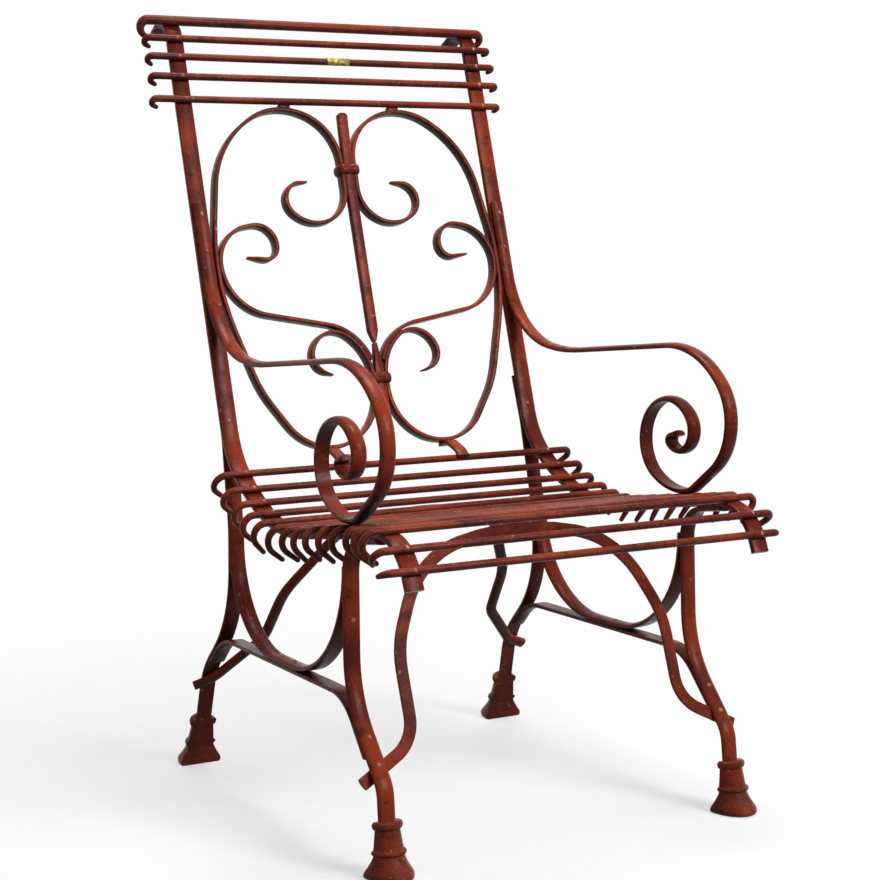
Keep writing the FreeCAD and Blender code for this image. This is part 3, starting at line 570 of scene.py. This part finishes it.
rod_paint = paint("rod_paint", wear=0.6, Paint=(0.105, 0.018, 0.011), Bright=(0.25, 0.038, 0.015))
X_AXIS = Vector((1, 0, 0))
HOOK_STEPS = 14
HOOK_TAPER = 1.5
TAIL_STEPS = (0.35, 0.7, 1.0)
TIP_ROUNDING = ((0.5, 0.86), (0.85, 0.5))       # onward from the end, then size, in its radius
TIP_DIAMETER = 6.0
ROD_SIDES = 14
# How far out each rod's hooks reach, from the back rod to the nose rod
LEFT_REACH = (267.4, 267.6, 266, 268.5, 269, 265.5, 262.5, 263,
              263, 262, 261, 259.5, 265.8, 271, 274.5, 277.3)
RIGHT_REACH = (264.9, 266.4, 266.4, 267.2, 267, 266, 267, 265.5,
               267, 266, 267.3, 266.5, 267.3, 267.4, 267, 265.4)
# Each hook's radius, degrees of wrap, straight tail and roll
LEFT_HOOK = ((14, 16), (132, 144), (14, 18), 0)
RIGHT_HOOK = ((7, 8.5), (122, 134), (18, 22), 0)
LAST_BUT_ONE_LEFT = (11, 118, 6, 0)
NOSE_LEFT = (13, 52, 3, 0)
NOSE_RIGHT = (9, 62, 2, 0)
rng = random.Random(5)


def by_eye(hook):
    """The hook's measures, each drawn at random if it is a pair of a least and a most."""
    return [rng.uniform(*measure) if isinstance(measure, tuple) else measure for measure in hook]


def hooked_rod(name, node, diameter, hooks, centre, up):
    """A rod across the chair whose ends curl down, away from up. Each hook, left then right, has
    a reach, radius, wrap, tail and roll, and the roll turns it about the rod to the back."""
    radius = diameter / 2
    thinning = TIP_DIAMETER / 2 - radius
    line = []
    for end, (reach, bend_radius, wrap, tail, roll) in zip((-1, 1), hooks):
        wrap, roll = math.radians(wrap), math.radians(roll)
        straight = reach - bend_radius - radius
        arc = wrap * bend_radius
        length = arc + tail
        hook = []
        for step in range(HOOK_STEPS + 1):
            share = step / HOOK_STEPS
            hook.append((point(end * (straight + bend_radius * math.sin(wrap * share)),
                               bend_radius * (math.cos(wrap * share) - 1)),
                         radius + thinning * (arc * share / length) ** HOOK_TAPER))
        onward = point(end * math.cos(wrap), -math.sin(wrap))
        bend_end = hook[-1][0]
        for share in TAIL_STEPS:
            thick = radius + thinning * ((arc + tail * share) / length) ** HOOK_TAPER
            hook.append((bend_end + onward * tail * share, thick))
        last, thick = hook[-1]
        hook += [(last + onward * ahead * thick, thick * size) for ahead, size in TIP_ROUNDING]
        hook = [(Vector((place.x, place.y * math.cos(roll), place.y * math.sin(roll))), thick)
                for place, thick in hook]
        line = hook[::-1] + line if end < 0 else line + hook
    rod = drawn_line(name, [place for place, _ in line], flat=False)
    for target, (_, thick) in zip(rod.data.splines[0].points, line):
        target.radius = thick
    rod.data.bevel_depth = 1.0
    rod.data.bevel_resolution = (ROD_SIDES - 4) // 2
    rod.data.use_fill_caps = True
    fix_on(finished(to_mesh(rod), in_plane(centre, X_AXIS, up), degrees=60),
           rod_paint, node)


def in_middle(place):
    """The side drawing's place or heading, on the chair's middle plane."""
    return Vector((0, place.x, place.y))


for number, distance in enumerate(reversed(seat_stations), start=1):
    place, direction = on_rail(distance)
    outward = left_of(direction)
    centre = place + outward * ((RAIL_THICKNESS + SEAT_ROD) / 2)
    left_hook = by_eye(LEFT_HOOK)
    right_hook = by_eye(RIGHT_HOOK)
    if number == len(seat_stations) - 1:
        left_hook = LAST_BUT_ONE_LEFT
    elif number == len(seat_stations):
        left_hook, right_hook = NOSE_LEFT, NOSE_RIGHT
    hooks = ((LEFT_REACH[number - 1], *left_hook), (RIGHT_REACH[number - 1], *right_hook))
    hooked_rod("seat_rod_bar_%d" % number, "seat_rod_%d" % number, SEAT_ROD, hooks,
               in_middle(centre), in_middle(outward))

# Back rods
# A heavy top rod on the shoulder of the roll and four lighter ones below it, riveted to the
# faces of the stiles. Their hooks curl down and a little back.

BACK_ROD = 9.5
TOP_ROD = 13.0
TOP_ROD_TURN = 38.0         # degrees round the roll from the stile's face
TOP_HOOKS = ((274.8, 11, 158, 4, 15), (251.6, 8, 155, 4, 30))
PANEL_START = 460.0
BACK_RODS = ((511, 272, 253.5), (486, 271, 256.5), (459, 271, 257.5), (428, 273, 255.5))
BACK_LEFT_HOOK = ((5.2, 5.9), (140, 152), 5, (48, 60))
BACK_RIGHT_HOOK = ((3.6, 4.2), (128, 142), 3, (60, 72))
rake_up = in_middle(rake)
panel_foot = back_corner.x + (PANEL_START - back_corner.y) * rake.x / rake.y
panel_origin = Vector((0, panel_foot, PANEL_START))
panel_front = X_AXIS.cross(rake_up)


def on_panel(rise, ahead=0.0):
    """The place this far up the middle of the panel and this far in front of it."""
    return panel_origin + rake_up * rise + panel_front * ahead


roll_centre = back_corner + rake * STILE_RUN - left_of(rake) * ROLL_RADIUS
top_distance = ROLL_RADIUS + (RAIL_THICKNESS + TOP_ROD) / 2
top_rod = roll_centre + heading(180 - STILE_RAKE - TOP_ROD_TURN) * top_distance
hooked_rod("top_rod_bar", "back_rod_1", TOP_ROD, TOP_HOOKS, in_middle(top_rod), rake_up)
for number, (rise, left_reach, right_reach) in enumerate(BACK_RODS, start=2):
    centre = on_panel(rise, (RAIL_THICKNESS + BACK_ROD) / 2)
    hooks = ((left_reach, *by_eye(BACK_LEFT_HOOK)), (right_reach, *by_eye(BACK_RIGHT_HOOK)))
    hooked_rod("back_rod_bar_%d" % number, "back_rod_%d" % number, BACK_ROD, hooks, centre, rake_up)

# Tag
# A small plate of thin brass sheet bent round the front of the third back rod. It is bare metal,
# worn plain.

TAG_WIDTH = 33.0
TAG_THICKNESS = 0.7
TAG_EASE = 0.2
TAG_GAP = 0.05
TAG_WRAP = 150
TAG_STEPS = 16
TAG_X = 6.0
TAG_DULL = (0.16, 0.10, 0.030)
TAG_BRIGHT = (0.38, 0.28, 0.075)


def bare_metal(name, dull, bright, roughness, metallic=0.85, scale=260):
    """Worn metal whose colour wanders between two tones."""
    material, tree, shader = new_finish(name)
    place = made(tree, "TexCoord", {})["Object"]
    patches = made(tree, "TexNoise", {"Vector": place, "Scale": scale, "Detail": 5})["Fac"]
    tone = mix_of(tree, band_of(tree, patches, 0.40, 0.62), (*dull, 1), (*bright, 1))
    gloss = band_of(tree, patches, 0.35, 0.65, roughness + 0.15, roughness)
    feed(tree, shader, {"Base Color": tone, "Metallic": metallic, "Roughness": gloss,
                        "Normal": relief_of(tree, patches, depth=0.0003, strength=0.5)})
    return material


tag_radius = (BACK_ROD + TAG_THICKNESS) / 2 + TAG_GAP
third_rod = on_panel(BACK_RODS[1][0], (RAIL_THICKNESS + BACK_ROD) / 2)
wrap_line = [heading(TAG_WRAP * (0.5 - step / TAG_STEPS)) * tag_radius
             for step in range(TAG_STEPS + 1)]
tag = swept("tag_plate", wrap_line, flat_bar(TAG_WIDTH, TAG_THICKNESS, TAG_EASE),
            in_plane(third_rod + X_AXIS * TAG_X, panel_front, rake_up), ease=0.0)
fix_on(tag, bare_metal("tag_brass", TAG_DULL, TAG_BRIGHT, 0.40))

# Scrolled back panel
# Thin strip iron bent on edge: a tall oval that curls in at both ends a side, and a heart scroll
# inside it. They are clipped to the centre bars and riveted to each other and to the stiles.

STRIP_WIDTH = 16.0
STRIP_THICKNESS = 5.0
STRIP_EASE = 0.6
CENTRE_GAP = 14.0
OVAL_BENDS = [90, 109, 151, 300, 300, 153, 88, 92]
OVAL_SHOULDER = 234.0
OVAL_HIP = 158.0
UPPER_CURL = [(48, 133), (26, 50), (24, 80)]
UPPER_TIP = 14.0
LOWER_CURL = [(71, -54), (35, -108), (24, -94)]
LOWER_TIP = 9.0
HEART_BENDS = [18, 27, 52, 69, 76]
DRAWN_TIP = 26.0        # length over which a curl's end is drawn thin
SQUARE_END = 0.1
strip_x = (CENTRE_GAP + STRIP_THICKNESS) / 2


def side_x(stance, back, height):
    """How far out the middle of a bar with this stance lies at this place."""
    width, toe, lean = stance
    return width - math.tan(math.radians(toe)) * back - math.tan(math.radians(lean)) * height


def stile_edge(rise):
    on_stile = on_panel(rise)
    return side_x(RAIL_STANCE, on_stile.y, on_stile.z) - RAIL_WIDTH / 2


def panel_plane(side):
    return in_plane(panel_origin, X_AXIS * side, rake_up)


shoulder = point(stile_edge(OVAL_SHOULDER) - STRIP_THICKNESS / 2, OVAL_SHOULDER)
hip = point(stile_edge(OVAL_HIP) - STRIP_THICKNESS / 2, OVAL_HIP)
upper_start = point(strip_x, 309)
lower_start = point(strip_x, 48)
oval_ring = bend(
    [upper_start, point(strip_x, 391), point(96, 431), point(187, 368), shoulder,
     hip, point(174, 37), point(106, -64), point(strip_x, -10), lower_start], OVAL_BENDS)
upper_curl = curl(upper_start, point(0, -1), UPPER_CURL, UPPER_TIP)
lower_curl = curl(lower_start, point(0, 1), LOWER_CURL, LOWER_TIP)
oval_line = upper_curl[:0:-1] + oval_ring + lower_curl[1:]
heart_line = bend(
    [point(165, 216), point(122, 209), point(122, 263),
     beside(shoulder, hip, -17, -STRIP_THICKNESS), beside(shoulder, hip, 86, -STRIP_THICKNESS),
     point(22.2, 114.4), point(8.4, 72)], HEART_BENDS)
strip = flat_bar(STRIP_WIDTH, STRIP_THICKNESS, STRIP_EASE)
for side_name, side in SIDES:
    painted_bar("oval_strip_" + side_name, "oval_scroll_" + side_name, oval_line, strip,
                panel_plane(side), tips=(DRAWN_TIP, DRAWN_TIP))
    painted_bar("heart_strip_" + side_name, "heart_scroll_" + side_name, heart_line, strip,
                panel_plane(side), tips=(DRAWN_TIP, SQUARE_END))

# Straps
# Two short lengths of strip iron from under the ovals forward onto the hindmost seat rod. They
# tie the foot of the panel to the seat.

STRAP_X = 88.0
STRAP_BACK = 8.0
STRAP_FRONT = 12.0
STRAP_LANDING = (8.0, -5.0)         # from the rod's middle along the rail
STRAP_BENDS = [8, 8]
strap_under = on_panel(min(place.y for place in oval_ring) - STRIP_THICKNESS)
strap_root = point(strap_under.y, strap_under.z)
strap_forward = point(panel_front.y, panel_front.z)
hind_place, hind_heading = on_rail(seat_stations[-1])
strap_step = RAIL_THICKNESS / 2 + SEAT_ROD + STRIP_THICKNESS / 2
strap_landing = hind_place + left_of(hind_heading) * strap_step
strap_line = bend([strap_root - strap_forward * STRAP_BACK, strap_root + strap_forward * STRAP_FRONT]
                  + [strap_landing + hind_heading * run for run in STRAP_LANDING], STRAP_BENDS)
for side_name, side in SIDES:
    painted_bar("strap_bar_" + side_name, "seat_strap_" + side_name, strap_line, strip,
                in_plane(X_AXIS * side * STRAP_X, Vector((0, 1, 0)), Vector((0, 0, 1))))

# Centre bars
# Two flat bars up the middle of the panel, point to point behind the arms of the hearts. The
# upper one is rounded off at the top and both are faced flush with the front of the strips.

BAR_DEPTH = 9.0
BAR_EASE = 1.2
BAR_JOINT = 96.5
BAR_TOP = 415.0
BAR_TOP_ROUND = 5.0
BAR_FOOT = -46.0
TOP_DRIFT = 3.0         # the top of the upper bar leans this far to the right
UPPER_COLLAR = 335.0
LOWER_COLLAR = 47.0


def plate(name, outline, thickness, placement, ease=0.8):
    """A flat plate cut to the outline, its edges eased; its near face lies on the drawing."""
    cut = drawn_line(name, outline, closed=True)
    cut.data.fill_mode = "BOTH"
    cut.data.extrude = thickness / 2 - ease
    cut.data.bevel_depth = ease
    cut.data.offset = -ease
    cut.data.bevel_resolution = 1
    return finished(to_mesh(cut), placement @ Matrix.Translation((0, 0, thickness / 2)))


def arc_points(centre, radius, first, last, steps=6):
    return [centre + heading(first + (last - first) * step / steps) * radius
            for step in range(steps + 1)]


bar_half = CENTRE_GAP / 2
bar_back = Vector((0, 0, STRIP_WIDTH / 2 - BAR_DEPTH))
top_level = BAR_TOP - BAR_TOP_ROUND
upper_outline = (
    [point(-bar_half, BAR_JOINT + 15), point(-2.6, BAR_JOINT + 2)]
    + arc_points(point(0, BAR_JOINT + 3.2), 3.2, 210, 330)
    + [point(2.6, BAR_JOINT + 2), point(bar_half, BAR_JOINT + 15), point(bar_half, UPPER_COLLAR)]
    + arc_points(point(bar_half + TOP_DRIFT - BAR_TOP_ROUND, top_level), BAR_TOP_ROUND, 0, 90)
    + arc_points(point(BAR_TOP_ROUND - bar_half + TOP_DRIFT, top_level), BAR_TOP_ROUND, 90, 180)
    + [point(-bar_half, UPPER_COLLAR)])
lower_outline = (
    [point(-bar_half, BAR_FOOT)] + arc_points(point(0, BAR_FOOT - 9), 3, 210, 330)
    + [point(bar_half, BAR_FOOT), point(bar_half, BAR_JOINT - 42)]
    + arc_points(point(0, BAR_JOINT - 3), 2.6, 20, 160) + [point(-bar_half, BAR_JOINT - 42)])
for end_name, outline in (("upper", upper_outline), ("lower", lower_outline)):
    bar = plate("centre_bar_" + end_name + "_bar", outline, BAR_DEPTH,
                panel_plane(1) @ Matrix.Translation(bar_back), BAR_EASE)
    fix_on(bar, bar_paint, node="centre_bar_" + end_name)

# Collars
# Half-round iron closed hot round the strips and the centre bar, full and rounded outside. In
# front it is pressed in between the two strips.

COLLAR_HEIGHT = 14.0
COLLAR_WALL = 4.4
COLLAR_EDGE = 0.9       # thickness of the wall where its round begins
COLLAR_CORNER = 3.2
# The front's lobes and dip, from the middle and out from the strips' faces
COLLAR_FRONT = ((5.0, 0.6), (1.8, -1.8), (-1.8, -1.8), (-5.0, 0.6))
collar_section = []
for angle in [math.radians(degrees) for degrees in range(10, 171, 16)]:
    wall = COLLAR_EDGE + (COLLAR_WALL - COLLAR_EDGE) * math.sin(angle)
    collar_section.append(point(-wall, COLLAR_HEIGHT / 2 * math.cos(angle)))
inner_edge = COLLAR_HEIGHT / 2 - 0.4
collar_section += [point(-0.2, -inner_edge), point(0.3, 0), point(-0.2, inner_edge)]
half_x = bar_half + STRIP_THICKNESS
half_y = STRIP_WIDTH / 2


def collar_corner(across, forward, first):
    centre = point(across * (half_x - COLLAR_CORNER), forward * (half_y - COLLAR_CORNER))
    return arc_points(centre, COLLAR_CORNER, first, first + 90)


collar_line = (
    collar_corner(1, -1, -90) + collar_corner(1, 1, 0)
    + [point(across, half_y + out) for across, out in COLLAR_FRONT]
    + collar_corner(-1, 1, 90) + collar_corner(-1, -1, 180))
for end_name, rise in (("upper", UPPER_COLLAR), ("lower", LOWER_COLLAR)):
    painted_bar("collar_" + end_name + "_band", "collar_" + end_name, collar_line, collar_section,
                in_plane(on_panel(rise), X_AXIS, panel_front),
                ease=0.0, closed=True, degrees=50)

# Packing
# A short block of flat iron between the top of each oval and the lowest back rod, a little wider
# where it meets the rod.

PACKING_X = 82.0
PACKING_FOOT = 7.0      # half widths
PACKING_HEAD = 8.0
PACKING_DEPTH = 9.0
PACKING_BITE = (2.5, 1.0)       # sunk into the strip, and into the rod
oval_top = max(place.y for place in oval_ring) + STRIP_THICKNESS / 2 - PACKING_BITE[0]
packing_top = BACK_RODS[3][0] - BACK_ROD / 2 + PACKING_BITE[1]
packing_outline = [point(PACKING_X - PACKING_FOOT, oval_top),
                   point(PACKING_X + PACKING_FOOT, oval_top),
                   point(PACKING_X + PACKING_HEAD, packing_top),
                   point(PACKING_X - PACKING_HEAD, packing_top)]
for side_name, side in SIDES:
    near_face = Vector((0, 0, -1 if side > 0 else 1 - PACKING_DEPTH))
    block = plate("packing_" + side_name, packing_outline, PACKING_DEPTH,
                  panel_plane(side) @ Matrix.Translation(near_face), ease=0.7)
    fix_on(block, bar_paint)

# Arched braces
# Half-round bar bent edgewise into an arch between each pair of legs, crown away from the legs.
# Each end runs on across the flat of the leg, is riveted to it and cut off square beyond it.

ARCH_WIDTH = 15.0
ARCH_THICKNESS = 7.0
ARCH_CROWN_BEND = 380.0


def on_leg_at(line, height):
    """The point of the leg's line at this height, and the leg's heading there."""
    for first, second in zip(line, line[1:]):
        if first.y >= height >= second.y:
            share = (first.y - height) / (first.y - second.y)
            return first.lerp(second, share), (second - first).normalized()


def arched_brace(end_name, leg_line, stance, leg_side, height, top, lean, half_outline, bends):
    """The arch between two legs. Its half outline, from the right end, holds insets from the leg
    and rises along the arch, which starts at this height and leans this far on its way to its top."""
    on_leg, down_leg = on_leg_at(leg_line, height)
    start = on_leg + left_of(down_leg) * leg_side * (LEG_THICKNESS + ARCH_THICKNESS) / 2
    reach = point(lean, top - start.y)
    stretch = reach.length / reach.y
    half_span = side_x(stance, start.x, height)
    right = [point(half_span - inset, rise * (stretch if rise > 0 else 1))
             for inset, rise in half_outline]
    left = [point(-place.x, place.y) for place in right]
    line = bend(left + [point(0, reach.length)] + right[::-1],
                bends + [ARCH_CROWN_BEND] + bends[::-1])
    section = [point(p.y, p.x) for p in crowned_bar(ARCH_WIDTH, ARCH_THICKNESS, leg_side)]
    painted_bar(end_name + "_arch_bar", end_name + "_arch_brace", line, section,
                in_plane(in_middle(start), X_AXIS, in_middle(reach)))


arched_brace("front", front_leg_line, FRONT_STANCE, leg_side=1, height=118, top=360, lean=88,
             half_outline=[(-20, -14.6), (52, 23), (52, 123), (98, 216)], bends=[47, 120, 128])
arched_brace("rear", rear_leg_line, REAR_STANCE, leg_side=-1, height=120, top=355, lean=-168,
             half_outline=[(-21, -8), (6, 4), (60, 58), (67, 124), (121, 210)],
             bends=[30, 40, 99, 80])

# Cast feet
# A hoof cast round the crown of each leg: sole, swelling wall, pastern bead, tapering shank and
# a ring at the top. Rough cast iron under darker, thinner paint.

HOOF_HEIGHT = 62.0
HOOF_WIDTH = 36.0
HOOF_HEEL = 8.0
HOOF_HEEL_RISE = 23.5
HOOF_GRIP = 0.4         # the hoof's flat stands this far out from the bar's
HOOF_PROFILE = (      # share of the height, width over the waist's, depth over the width
    (0.00, 1.44, 0.58), (0.02, 1.52, 0.61), (0.05, 1.565, 0.62), (0.09, 1.57, 0.62),
    (0.13, 1.52, 0.61), (0.18, 1.40, 0.60), (0.24, 1.27, 0.58), (0.31, 1.14, 0.57),
    (0.38, 1.04, 0.56), (0.415, 1.02, 0.56), (0.422, 1.08, 0.56), (0.44, 1.135, 0.56),
    (0.463, 1.15, 0.56), (0.486, 1.13, 0.56), (0.50, 1.07, 0.56), (0.507, 0.99, 0.55),
    (0.60, 0.94, 0.54), (0.72, 0.885, 0.54), (0.845, 0.83, 0.53), (0.855, 0.88, 0.53),
    (0.87, 0.95, 0.53), (0.90, 1.00, 0.52), (0.94, 1.02, 0.52), (0.97, 0.99, 0.52),
    (0.988, 0.92, 0.51), (1.00, 0.82, 0.50))
HOOF_TURNS = 18
# The feet take a little less painted shade on their faces that look down than the bars.
cast_paint = paint("cast_paint", wear=0.85, grain=2.2, depth=0.0012, underside_shade=0.55,
                   Paint=(0.075, 0.015, 0.009), Bright=(0.24, 0.034, 0.012))


def hoof(name, side, stance, foot, ankle, toe):
    """Raised from its sole outline: each step is extruded, then drawn in or out to its own size."""
    outline = [point(toe * math.sin(angle), -0.5 * math.cos(angle)) for angle in
               [math.pi * step / HOOF_TURNS for step in range(HOOF_TURNS + 1)]]
    piece = to_mesh(drawn_line(name, outline, closed=True))
    bpy.ops.object.mode_set(mode="EDIT")
    bpy.ops.mesh.select_all(action="SELECT")
    bpy.ops.mesh.edge_face_add()
    lean = math.tan(math.radians(stance[2]))
    kick = (ankle.x - foot.x) / (ankle.y - foot.y)
    deep, width, tilt, centre = 1.0, 1.0, 0.0, Vector((0, 0, 0))
    for share, spread, reach in HOOF_PROFILE:
        level = HOOF_HEIGHT * share
        heel = HOOF_HEEL * max(0.0, 1 - level / HOOF_HEEL_RISE)
        flat = foot.x + kick * (level - foot.y) - toe * (LEG_THICKNESS / 2 + heel - HOOF_GRIP)
        new_width = HOOF_WIDTH * spread
        new_deep = new_width * reach + heel
        new_tilt = math.atan(kick * share)
        new_centre = Vector((flat, side * lean * level, level))
        if share:
            bpy.ops.mesh.extrude_region_move()
        size = (new_deep / deep, new_width / width, 1)
        bpy.ops.transform.resize(value=size, center_override=centre)
        bpy.ops.transform.rotate(value=tilt - new_tilt, orient_axis="Y", center_override=centre)
        bpy.ops.transform.translate(value=new_centre - centre)
        deep, width, tilt, centre = new_deep, new_width, new_tilt, new_centre
    placement = in_plane(X_AXIS * side * stance[0], Vector((0, 1, 0)), -X_AXIS)
    return finished(piece, placement, degrees=32)


for side_name, side in SIDES:
    for end_name, stance, foot, ankle, toe in (
            ("front", FRONT_STANCE, front_foot, front_ankle, -1),
            ("rear", REAR_STANCE, rear_foot, rear_ankle, 1)):
        foot_piece = hoof("%s_%s_foot" % (end_name, side_name), side, stance, foot, ankle, toe)
        fix_on(foot_piece, cast_paint, "hoof_foot_%s_%s" % (end_name, side_name))

# Rivets
# Domed iron heads, one on every rod where it crosses a rail and the rest through the laps of the
# bars. Hands and weather have rubbed the paint on them down to brown.

RIVET = 3.0
RIVET_SUNK = 0.4
DOME_CUT = 0.1          # the head is the part of a ball above this share of its radius
DOME_FLATNESS = 0.62        # and that part's height is pressed down to this share
SEAT_RIVET, SEAT_RIVET_SUNK = 2.9, 1.5
BACK_RIVET_SUNK = 0.8
BRACE_RIVET = 3.2
ARM_RIVETS = (317.0, 268.0, 180.0)      # up the stile from its foot
LEG_RIVET_ON_STILE = 47.0
HEART_RIVETS = (225.0, 193.0)
FRONT_LEG_RIVETS = (271.0, 144.0, 118.0)        # heights
REAR_LEG_RIVETS = (271.0, 150.0, 120.0)
BRACE_RIVETS = (-14.0, 20.0)
rivet_metal = bare_metal("rivet_metal", (0.18, 0.040, 0.020), (0.33, 0.13, 0.06), 0.38, 0.4, 90)
clear_selection()
bpy.ops.mesh.primitive_uv_sphere_add(segments=12, ring_count=10, radius=1)
rivet_head = bpy.context.object
bpy.ops.object.mode_set(mode="EDIT")
bpy.ops.mesh.select_all(action="SELECT")
bpy.ops.mesh.bisect(plane_co=(0, 0, DOME_CUT), plane_no=(0, 0, 1), clear_inner=True, use_fill=True)
bpy.ops.mesh.select_all(action="SELECT")
bpy.ops.transform.resize(value=(1, 1, DOME_FLATNESS), center_override=(0, 0, 0))
bpy.ops.object.mode_set(mode="OBJECT")
smooth(rivet_head, 50)
rivets = []


def rivet(place, outward, radius=RIVET, sunk=RIVET_SUNK):
    """A copy of the head at this place in the drawings' frame, its dome along outward."""
    outward = outward.normalized()
    across = outward.orthogonal()
    take(rivet_head)
    bpy.ops.object.duplicate()
    head = bpy.context.view_layer.objects.active
    rivets.append(head)
    head.name = "rivet_%d" % len(rivets)
    standing = in_plane(place - outward * sunk, across, outward.cross(across))
    settle(head, standing @ Matrix.Scale(radius, 4))
    fix_on(head, rivet_metal)


def rivet_pair(place, stance, outward, radius=RIVET, sunk=RIVET_SUNK):
    """A rivet at this place of the left and of the right bar with this stance."""
    for _, side in SIDES:
        out = X_AXIS * side * side_x(stance, place.y, place.z)
        rivet(place + out, outward, radius, sunk)


for distance in reversed(seat_stations):
    place, direction = on_rail(distance)
    outward = left_of(direction)
    rivet_pair(in_middle(place + outward * (RAIL_THICKNESS / 2 + SEAT_ROD)), RAIL_STANCE,
               in_middle(outward), SEAT_RIVET, SEAT_RIVET_SUNK)
for rise, _, _ in BACK_RODS:
    front = on_panel(rise, RAIL_THICKNESS / 2 + BACK_ROD)
    rivet_pair(front, RAIL_STANCE, panel_front, RIVET, BACK_RIVET_SUNK)
stile_rivets = [(distance, RAIL_THICKNESS / 2 + ARM_THICKNESS) for distance in ARM_RIVETS]
for distance, depth in stile_rivets + [(LEG_RIVET_ON_STILE, RAIL_THICKNESS / 2)]:
    front = in_middle(back_corner) + rake_up * distance + panel_front * depth
    rivet_pair(front, RAIL_STANCE, panel_front)
for rise in HEART_RIVETS:
    for _, side in SIDES:
        inner = X_AXIS * side * (stile_edge(rise) - 2 * STRIP_THICKNESS)
        rivet(on_panel(rise) + inner, -side * X_AXIS)
for line, stance, crown, heights in ((front_leg_line, FRONT_STANCE, 1, FRONT_LEG_RIVETS),
                                     (rear_leg_line, REAR_STANCE, -1, REAR_LEG_RIVETS)):
    for height in heights:
        on_leg, down_leg = on_leg_at(line, height)
        outward = left_of(down_leg) * -crown
        rivet_pair(in_middle(on_leg + outward * LEG_THICKNESS / 2), stance, in_middle(outward))
top = BRACE_HEIGHT + LEG_THICKNESS / 2
for _, side in SIDES:
    for back in BRACE_RIVETS:
        on_brace = Vector((side * side_x(BRACE_STANCE, back, top), back, top))
        rivet(on_brace, Vector((0, 0, 1)), BRACE_RIVET)
bpy.data.objects.remove(rivet_head)

for node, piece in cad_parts.items():
    coat(piece, cast_paint if node.startswith("hoof") else bar_paint)

# Floor, light and camera
# A pale floor and a white room. Soft windows stand in front on the right, to the left and above,
# and the chair is seen from the front left.

FLOOR_SIZE = 12.0
FLOOR_IN_LIGHT = (0.22, 0.22, 0.22, 1)          # what the light itself meets, so little comes back
FLOOR_SEEN = (0.90, 0.90, 0.90, 1)
ROOM_LIGHT = 0.16
ROOM_SEEN = 1.0
WHITE = (1, 1, 1, 1)


def seen_rays(tree):
    """1 for the rays of the camera, of reflections and of glass, 0 for the light itself."""
    rays = made(tree, "LightPath", {})
    shown = plus(tree, rays["Is Camera Ray"], rays["Is Glossy Ray"])
    return plus(tree, shown, rays["Is Transmission Ray"])


def mixed_shader(tree, share, first, second):
    return made(tree, "MixShader", {0: share, 1: first, 2: second})[0]


floor_white, tree, shader = new_finish("floor_white")
floor_tone = mix_of(tree, seen_rays(tree), FLOOR_IN_LIGHT, FLOOR_SEEN)
feed(tree, shader, {"Base Color": floor_tone, "Roughness": 0.9, "Specular IOR Level": 0.1})
away = made(tree, "VectorMath", {0: made(tree, "TexCoord", {})["Object"]}, operation="LENGTH")
glow = made(tree, "Emission", {"Color": WHITE, "Strength": 1.0})[0]
glowing = band_of(tree, away["Value"], 0.45, 1.3, 0.55, 1.0)      # more further away
surface = mixed_shader(tree, times(tree, glowing, seen_rays(tree)), shader.outputs[0], glow)
feed(tree, tree.nodes["Material Output"], {"Surface": surface})
clear_selection()
bpy.ops.mesh.primitive_plane_add(size=FLOOR_SIZE, location=(0, 0, 0))
floor = bpy.context.object
floor.name = "floor"
coat(floor, floor_white)

world = bpy.data.worlds.new("studio")
bpy.context.scene.world = world
world.use_nodes = True
tree = world.node_tree
tree.nodes.clear()
dim, bright = [made(tree, "Background", {"Color": WHITE, "Strength": strength})[0]
               for strength in (ROOM_LIGHT, ROOM_SEEN)]
made(tree, "OutputWorld", {"Surface": mixed_shader(tree, seen_rays(tree), dim, bright)})


def window(name, place, target, width, power):
    """A square lamp of this width and power in watts, turned to the target."""
    data = bpy.data.lights.new(name, "AREA")
    data.shape = "RECTANGLE"
    data.size = width
    data.size_y = width
    data.energy = power
    lamp = bpy.data.objects.new(name, data)
    bpy.context.scene.collection.objects.link(lamp)
    lamp.location = place
    towards = Vector(target) - Vector(place)
    lamp.rotation_euler = towards.to_track_quat("-Z", "Y").to_euler()


window("window_front", (1.2, -3.0, 2.4), (0, 0, 0.5), width=1.2, power=95)
window("window_left", (-2.6, -0.6, 1.6), (0, 0, 0.5), width=1.0, power=3)
window("window_top", (0.3, 0.2, 3.2), (0, 0, 0.4), width=1.2, power=70)

FOCAL = 2000.0          # in pixels of the picture
IMAGE_WIDTH = 880.0
SENSOR = 36.0
CAMERA_PLACE = Vector((-1.2486, -2.1281, 0.7274))
AZIMUTH, DROP, ROLL = -0.5225085, 0.1146491, -0.0046684         # in radians
looking = Vector((-math.sin(AZIMUTH) * math.cos(DROP), math.cos(AZIMUTH) * math.cos(DROP),
                  -math.sin(DROP)))
level = looking.cross(Vector((0, 0, 1))).normalized()
above = level.cross(looking)
right = level * math.cos(ROLL) + above * math.sin(ROLL)
up = above * math.cos(ROLL) - level * math.sin(ROLL)
data = bpy.data.cameras.new("camera")
data.lens = SENSOR * FOCAL / IMAGE_WIDTH
data.sensor_width = SENSOR
data.clip_start = 0.05
camera = bpy.data.objects.new("camera", data)
bpy.context.scene.collection.objects.link(camera)
turn = Matrix((right, up, -looking)).transposed().to_4x4()
camera.matrix_world = Matrix.Translation(CAMERA_PLACE + DRAWING_ZERO * MM) @ turn
bpy.context.scene.camera = camera
bpy.context.scene.view_settings.view_transform = "Standard"
